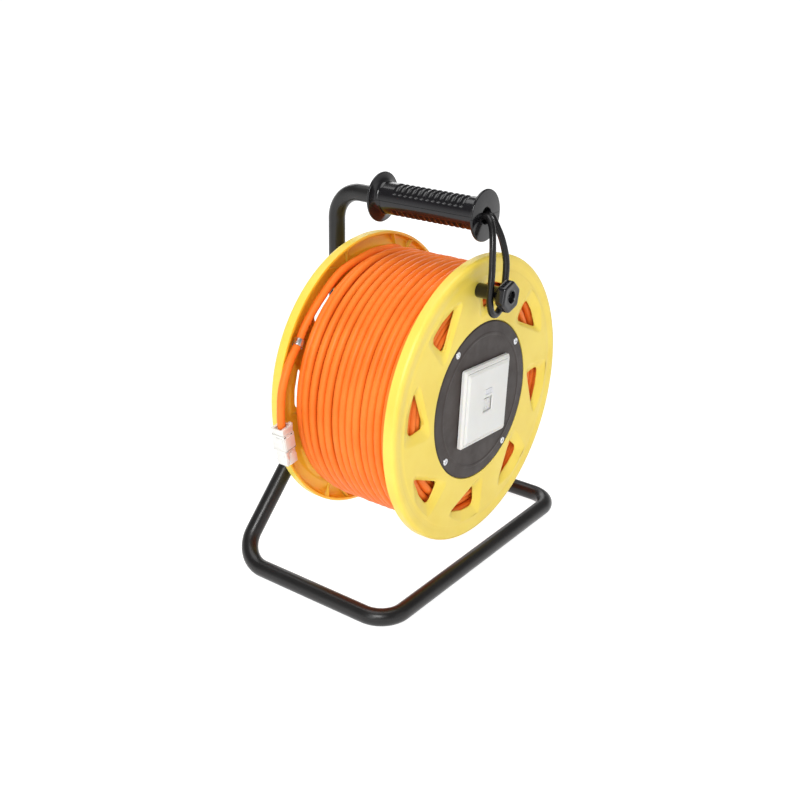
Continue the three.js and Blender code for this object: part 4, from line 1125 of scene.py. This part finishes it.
IN, OUT = BINNER - 44, BFACE + 0.6
turned("bush_inner", [(8.3, IN + 12), (10.7, IN + 12), (10.7, IN - 0.3), (14.2, IN - 0.3), (14.5, IN - 0.6),
                      (14.5, IN - 1.2), (14.2, IN - 1.5), (8.3, IN - 1.5)], 48, "drum", HUB, closed=True,
       stands_for=("bush_front",))
turned("bush_outer", [(8.3, OUT - 12), (10.7, OUT - 12), (10.7, OUT + 0.3), (14.2, OUT + 0.3), (14.5, OUT + 0.6),
                      (14.5, OUT + 1.2), (14.2, OUT + 1.5), (8.3, OUT + 1.5)], 48, "drum", HUB, closed=True,
       stands_for=("bush_back",))


# ---------- panel ----------
F = PANEL_FRONT
panel_profile = fillet([
    (24, F), (65.6, F), (66.8, F - 0.5), (68.2, F - 0.5), (69.4, F), (78.6, F), (79.6, F + 0.9), (79.6, F + 2.9),
    (24, F + 2.9),
], [0, 0.6, 0.5, 0.5, 0.6, 0.7, 0.6, 0.1, 0], 4)
panel = raw("hub_panel", *lattice(turned_rows(panel_profile, 192), wrap_rows=True))
wells = []
for k in range(4):
    x, z = polar(SCREW_R, SCREW_ANGLE + 90 * k)
    well = [(0.2, F - 1), (3.95, F - 1), (3.95, F + 0.15), (2.1, F + 2.0), (2.1, F + 4), (0.2, F + 4)]
    wells.append(raw("well", *lattice(turned_rows(well, 40, x, AXIS_Z + z))))
boolean(panel, wells, "DIFFERENCE")
settle(panel, "drum", PANEL, ("socket_panel",), angle=32)
for k in range(4):
    x, z = polar(SCREW_R, SCREW_ANGLE + 90 * k)
    cross_screw(f"panel_screw_head_{k + 1}", x, F + 0.05, AXIS_Z + z, 3.7, "drum", (f"panel_screw_{k + 1}",),
                shank=11.0, dome=0.55, spin=(12, 48, -20, 30)[k])


# ---------- outlet ----------
def square(half, corner, steps=6):
    return fillet([(-half, -half), (half, -half), (half, half), (-half, half)], corner, steps, closed=True)


def lofted(rows, wrap=False):
    """A solid through (y, outline) rows."""
    return lattice([[(x, y, AXIS_Z + z) for x, z in row] for y, row in rows], wrap_rows=wrap)


def slab(y0, y1, outline):
    return lofted([(y0, outline), (y1, outline)])


def outlet_piece(name, rows, mat, stands_for, wrap=False, angle=38):
    verts, faces = lofted(rows, wrap)
    return make(name, spin_points(verts, PLATE_TURN), faces, "drum", mat, stands_for, angle=angle)


BASE = F - 0.5 - 0.3
STEP = BASE - 3.2
TOP = BASE - 4.8
PLATE_FRONT_Y = -88.6
outlet_piece("outlet_surround", [
    (BASE, square(40, 3)), (STEP + 0.25, square(40, 3)), (STEP - 0.05, square(39.85, 2.9)),
    (TOP + 0.35, square(38.3, 2.5)), (TOP + 0.08, square(38.0, 2.4)), (TOP, square(37.7, 2.3)),
    (TOP, square(36.75, 1.8)), (TOP + 0.2, square(36.5, 1.7)), (BASE, square(36.5, 1.7)),
], WHITE, ("outlet_frame",), wrap=True, angle=25)

PORT_W, PORT_H, PORT_Z = 14.6, 14.0, -2.0
LABEL_Z = 11.5
COVER = 36.2
cover_rows = [
    (BASE, square(COVER, 1.5)), (TOP - 0.1, square(COVER, 1.5)), (TOP - 0.4, square(COVER - 0.15, 1.5)),
    (PLATE_FRONT_Y + 0.45, square(COVER - 1.95, 1.9)), (PLATE_FRONT_Y + 0.12, square(COVER - 2.35, 1.9)),
    (PLATE_FRONT_Y, square(COVER - 2.9, 1.9)),
]
cover = raw("outlet_cover_plate", *lofted(cover_rows))
hollow = raw("hollow", *slab(PLATE_FRONT_Y + 1.05, BASE + 2, square(COVER - 3, 1.5)))


def rect(x0, x1, z0, z1, corner=0.4, steps=3):
    return fillet([(x0, z0), (x1, z0), (x1, z1), (x0, z1)], corner, steps, closed=True)


port = raw("port", *lofted([
    (PLATE_FRONT_Y - 0.5, rect(-PORT_W / 2 - 1.25, PORT_W / 2 + 1.25, PORT_Z - 8.4, PORT_Z + 8.1, 0.7)),
    (PLATE_FRONT_Y + 0.3, rect(-PORT_W / 2 - 0.85, PORT_W / 2 + 0.85, PORT_Z - 7.9, PORT_Z + 7.7, 0.6)),
    (PLATE_FRONT_Y + 1.4, rect(-PORT_W / 2, PORT_W / 2, PORT_Z - 7, PORT_Z + 7, 0.4)),
    (PLATE_FRONT_Y + 4, rect(-PORT_W / 2, PORT_W / 2, PORT_Z - 7, PORT_Z + 7, 0.4)),
]))
label_well = raw("label_well", *lofted([
    (PLATE_FRONT_Y - 0.5, rect(-6.2, 6.2, LABEL_Z - 3.2, LABEL_Z + 3.2, 0.5)),
    (PLATE_FRONT_Y + 0.15, rect(-5.95, 5.95, LABEL_Z - 2.95, LABEL_Z + 2.95, 0.5)),
    (PLATE_FRONT_Y + 0.8, rect(-5.9, 5.9, LABEL_Z - 2.9, LABEL_Z + 2.9, 0.5)),
]))
boolean(cover, [hollow, port, label_well], "DIFFERENCE")


def turn_about_axis(obj, degrees):
    spun = Matrix.Translation(Vector((0, 0, AXIS_Z * MM))) @ Matrix.Rotation(-math.radians(degrees), 4, "Y")
    obj.data.transform(spun @ Matrix.Translation(Vector((0, 0, -AXIS_Z * MM))))


turn_about_axis(cover, PLATE_TURN)
settle(cover, "drum", WHITE, ("outlet_cover",), angle=25)
outlet_piece("label_window", [
    (PLATE_FRONT_Y + 0.5, rect(-5.65, 5.65, LABEL_Z - 2.65, LABEL_Z + 2.65, 0.4)),
    (PLATE_FRONT_Y + 0.18, rect(-5.65, 5.65, LABEL_Z - 2.65, LABEL_Z + 2.65, 0.4)),
    (PLATE_FRONT_Y + 0.1, rect(-5.5, 5.5, LABEL_Z - 2.5, LABEL_Z + 2.5, 0.4)),
], LABEL, ("label_field",))

# shutter: a plate with a finger bar, a lower bar and a thin line between them
S = PLATE_FRONT_Y + 2.1
TOP_Z = PORT_Z + PORT_H / 2 + 1


def shutter_part(*rows):
    """A solid through (y from S, half width, lowest, highest, corner) rows, heights from TOP_Z."""
    return lofted([(S + y, rect(-half, half, TOP_Z + low, TOP_Z + high, corner))
                   for y, half, low, high, corner in rows])


verts, faces = joined([
    shutter_part((1, 9, -17, 0, 0.5), (0.1, 9, -17, 0, 0.5), (0, 8.9, -16.9, -0.1, 0.5)),
    shutter_part((0.3, 4.0, -3.1, -1.9, 0.3), (-0.6, 3.9, -3.0, -2.0, 0.3), (-0.9, 3.6, -2.8, -2.3, 0.2)),
    shutter_part((0.3, 3.2, -12.4, -11.7, 0.3), (-0.35, 3.0, -12.3, -11.8, 0.2)),
    shutter_part((0.3, 0.5, -11.9, -4.6, 0.2), (-0.3, 0.35, -11.8, -4.8, 0.2)),
])
make("outlet_shutter", spin_points(verts, PLATE_TURN), faces, "shutter", WHITE, ("port_shutter",), angle=25)

# behind the cover
M = S + 1.3
H = F + 2.9 + 0.3


def port_rect(half, low, high, corner):
    return rect(-half, half, PORT_Z + low, PORT_Z + high, corner)


def hidden_piece(name, y0, y1, outline, holes, mat, node_name):
    """A plate or block behind the cover, with (y0, y1, outline) holes."""
    obj = raw(name, *slab(y0, y1, outline))
    boolean(obj, [raw("hole", *slab(*hole)) for hole in holes], "DIFFERENCE")
    turn_about_axis(obj, PLATE_TURN)
    settle(obj, "drum", mat, (node_name,), angle=30)


hidden_piece("keystone_module", M, M + 26, port_rect(9, -10, 10, 0.8),
             [(M - 1, M + 14, port_rect(6, -4, 4, 0.3)), (M - 1, M + 12, port_rect(3.2, -7, 0, 0.3))],
             JACK, "rj45_module")
hidden_piece("module_bracket", H, H + 1.5, square(35, 2), [(H - 1, H + 3, port_rect(9.3, -10.3, 10.3, 0.5))],
             STEEL, "module_holder")


# ---------- crank ----------
HEAD_BACK, HEAD_FRONT, HEAD_R, HEAD_TURN = -104.3, -117.0, 15.0, 78.0
HEAD_SEGMENTS = 144
SLEEVE_BACK = FACE - LIFT - 0.35


grid = np.linspace(-math.pi, math.pi, HEAD_SEGMENTS, endpoint=False)


def head_ring(scale, rounding):
    """A hexagon outline with rounded corners, about the knob's own line."""
    corners = [polar(HEAD_R * scale * 1.035, HEAD_TURN + 60 * k) for k in range(6)]
    pts = resampled(fillet(corners, rounding, 10, closed=True), 0.1)
    a = np.arctan2(pts[:, 1], pts[:, 0])
    order = np.argsort(a)
    r = np.interp(grid, a[order], np.hypot(pts[:, 0], pts[:, 1])[order], period=2 * math.pi)
    return [(ri * math.cos(g), ri * math.sin(g)) for ri, g in zip(r, grid)]


rings = []
for scale, rounding, y in (
    (0.60, 6.0, HEAD_BACK), (0.66, 5.5, HEAD_BACK - 0.25), (0.90, 5.0, HEAD_BACK - 2.9),
    (0.975, 4.6, HEAD_BACK - 3.9), (1.0, 4.4, HEAD_BACK - 4.9), (1.0, 4.4, HEAD_FRONT + 2.2),
    (0.985, 4.4, HEAD_FRONT + 1.2), (0.95, 4.4, HEAD_FRONT + 0.45), (0.90, 4.4, HEAD_FRONT + 0.08),
    (0.84, 4.6, HEAD_FRONT), (0.70, 6.0, HEAD_FRONT + 0.25), (0.55, 6.0, HEAD_FRONT + 0.45),
):
    rings.append([(kx + x, y, kz + z) for x, z in head_ring(scale, rounding * scale)])
for r, y in (
    (6.5, HEAD_FRONT + 0.3), (6.15, HEAD_FRONT + 0.02), (5.85, HEAD_FRONT + 0.12), (5.6, HEAD_FRONT + 0.6),
    (5.5, HEAD_FRONT + 8.3), (4.3, HEAD_FRONT + 8.4), (4.3, SLEEVE_BACK), (6.5, SLEEVE_BACK),
    (6.85, SLEEVE_BACK - 0.15), (7.0, SLEEVE_BACK - 0.6), (7.0, HEAD_BACK + 0.9), (7.25, HEAD_BACK + 0.35),
    (7.8, HEAD_BACK + 0.02),
):
    rings.append([(kx + r * math.cos(g), y, kz + r * math.sin(g)) for g in grid])
make("winding_knob", *lattice(rings, wrap_rows=True), "crank", GRIP, ("crank_knob",), angle=30)
pin = [(0.3, HEAD_FRONT + 5.5), (1.6, HEAD_FRONT + 5.3), (1.9, HEAD_FRONT + 5.0), (4.2, HEAD_FRONT + 5.0),
       (4.8, HEAD_FRONT + 5.3), (5.0, HEAD_FRONT + 5.8), (5.0, HEAD_FRONT + 8), (3.9, HEAD_FRONT + 8),
       (3.9, INNER + 2.7), (0.3, INNER + 2.7)]
turned("knob_pin", pin, 48, "drum", STEEL, kx, kz, stands_for=("crank_spindle",))


# ---------- the axle clip keeps its CAD solid ----------
axle_clip = bpy.data.objects["axle_clip"]
axle_clip.data.materials.clear()
axle_clip.data.materials.append(STEEL)


# ---------- floor and light ----------
FLOOR_SPAN = 60000
FLOOR_Z = -0.4


def stage_floor():
    n = 48
    verts, faces = [], []
    for j in range(n):
        for i in range(n):
            verts.append(((i / (n - 1) - 0.5) * FLOOR_SPAN, (j / (n - 1) - 0.5) * FLOOR_SPAN, FLOOR_Z))
    for j in range(n - 1):
        for i in range(n - 1):
            faces.append((j * n + i, j * n + i + 1, (j + 1) * n + i + 1, (j + 1) * n + i))
    mesh = bpy.data.meshes.new("floor")
    mesh.from_pydata([tuple(c * MM for c in v) for v in verts], [], faces)
    floor = bpy.data.objects.new("floor", mesh)
    bpy.context.scene.collection.objects.link(floor)
    mat, tree, bsdf = shader("floor_white")
    tone = spread(tree, noise(tree, 3.0, 3.0), 0.3, 0.7, 0.0, 1.0)
    tree.links.new(mixed(tree, tone, (0.30, 0.30, 0.30), (0.33, 0.33, 0.33)), bsdf.inputs["Base Color"])
    fill(bsdf, Roughness=0.75, Specular_IOR_Level=0.2, Emission_Color=(1, 1, 1, 1), Emission_Strength=0.94)
    bump(tree, bsdf, noise(tree, 120.0), 0.15, 0.2)
    mesh.materials.append(mat)


stage_floor()


def area_light(name, at, towards, size, power, tint=(1, 1, 1)):
    data = bpy.data.lights.new(name, "AREA")
    data.shape = "RECTANGLE"
    data.size, data.size_y = size
    data.energy = power
    data.color = tint
    obj = bpy.data.objects.new(name, data)
    bpy.context.scene.collection.objects.link(obj)
    obj.location = at
    obj.rotation_mode = "QUATERNION"
    obj.rotation_quaternion = (Vector(towards) - Vector(at)).to_track_quat("-Z", "Y")
    return obj


CENTRE = (0, 0, 0.18)
area_light("key", (-2.0, -0.9, 1.9), CENTRE, (1.0, 1.0), 44)
area_light("fill", (0.3, -2.3, 1.0), CENTRE, (1.6, 1.2), 3)
area_light("side", (-2.4, -0.4, 0.9), CENTRE, (0.8, 1.2), 8)
area_light("top", (0.2, 0.4, 2.4), CENTRE, (1.8, 1.8), 24)
area_light("rear", (1.6, 1.8, 1.3), CENTRE, (1.4, 1.0), 10)

world = bpy.data.worlds.new("studio")
bpy.context.scene.world = world
world.use_nodes = True
sky = world.node_tree
direction = sky.nodes.new("ShaderNodeTexCoord")
height = sky.nodes.new("ShaderNodeSeparateXYZ")
sky.links.new(direction.outputs["Generated"], height.inputs["Vector"])
sky.links.new(spread(sky, height.outputs["Z"], 0.02, 0.38, 1.0, 0.22), sky.nodes["Background"].inputs["Strength"])
sky.nodes["Background"].inputs["Color"].default_value = (1, 1, 1, 1)
bpy.context.scene.view_settings.view_transform = "Standard"
bpy.context.scene.view_settings.look = "None"
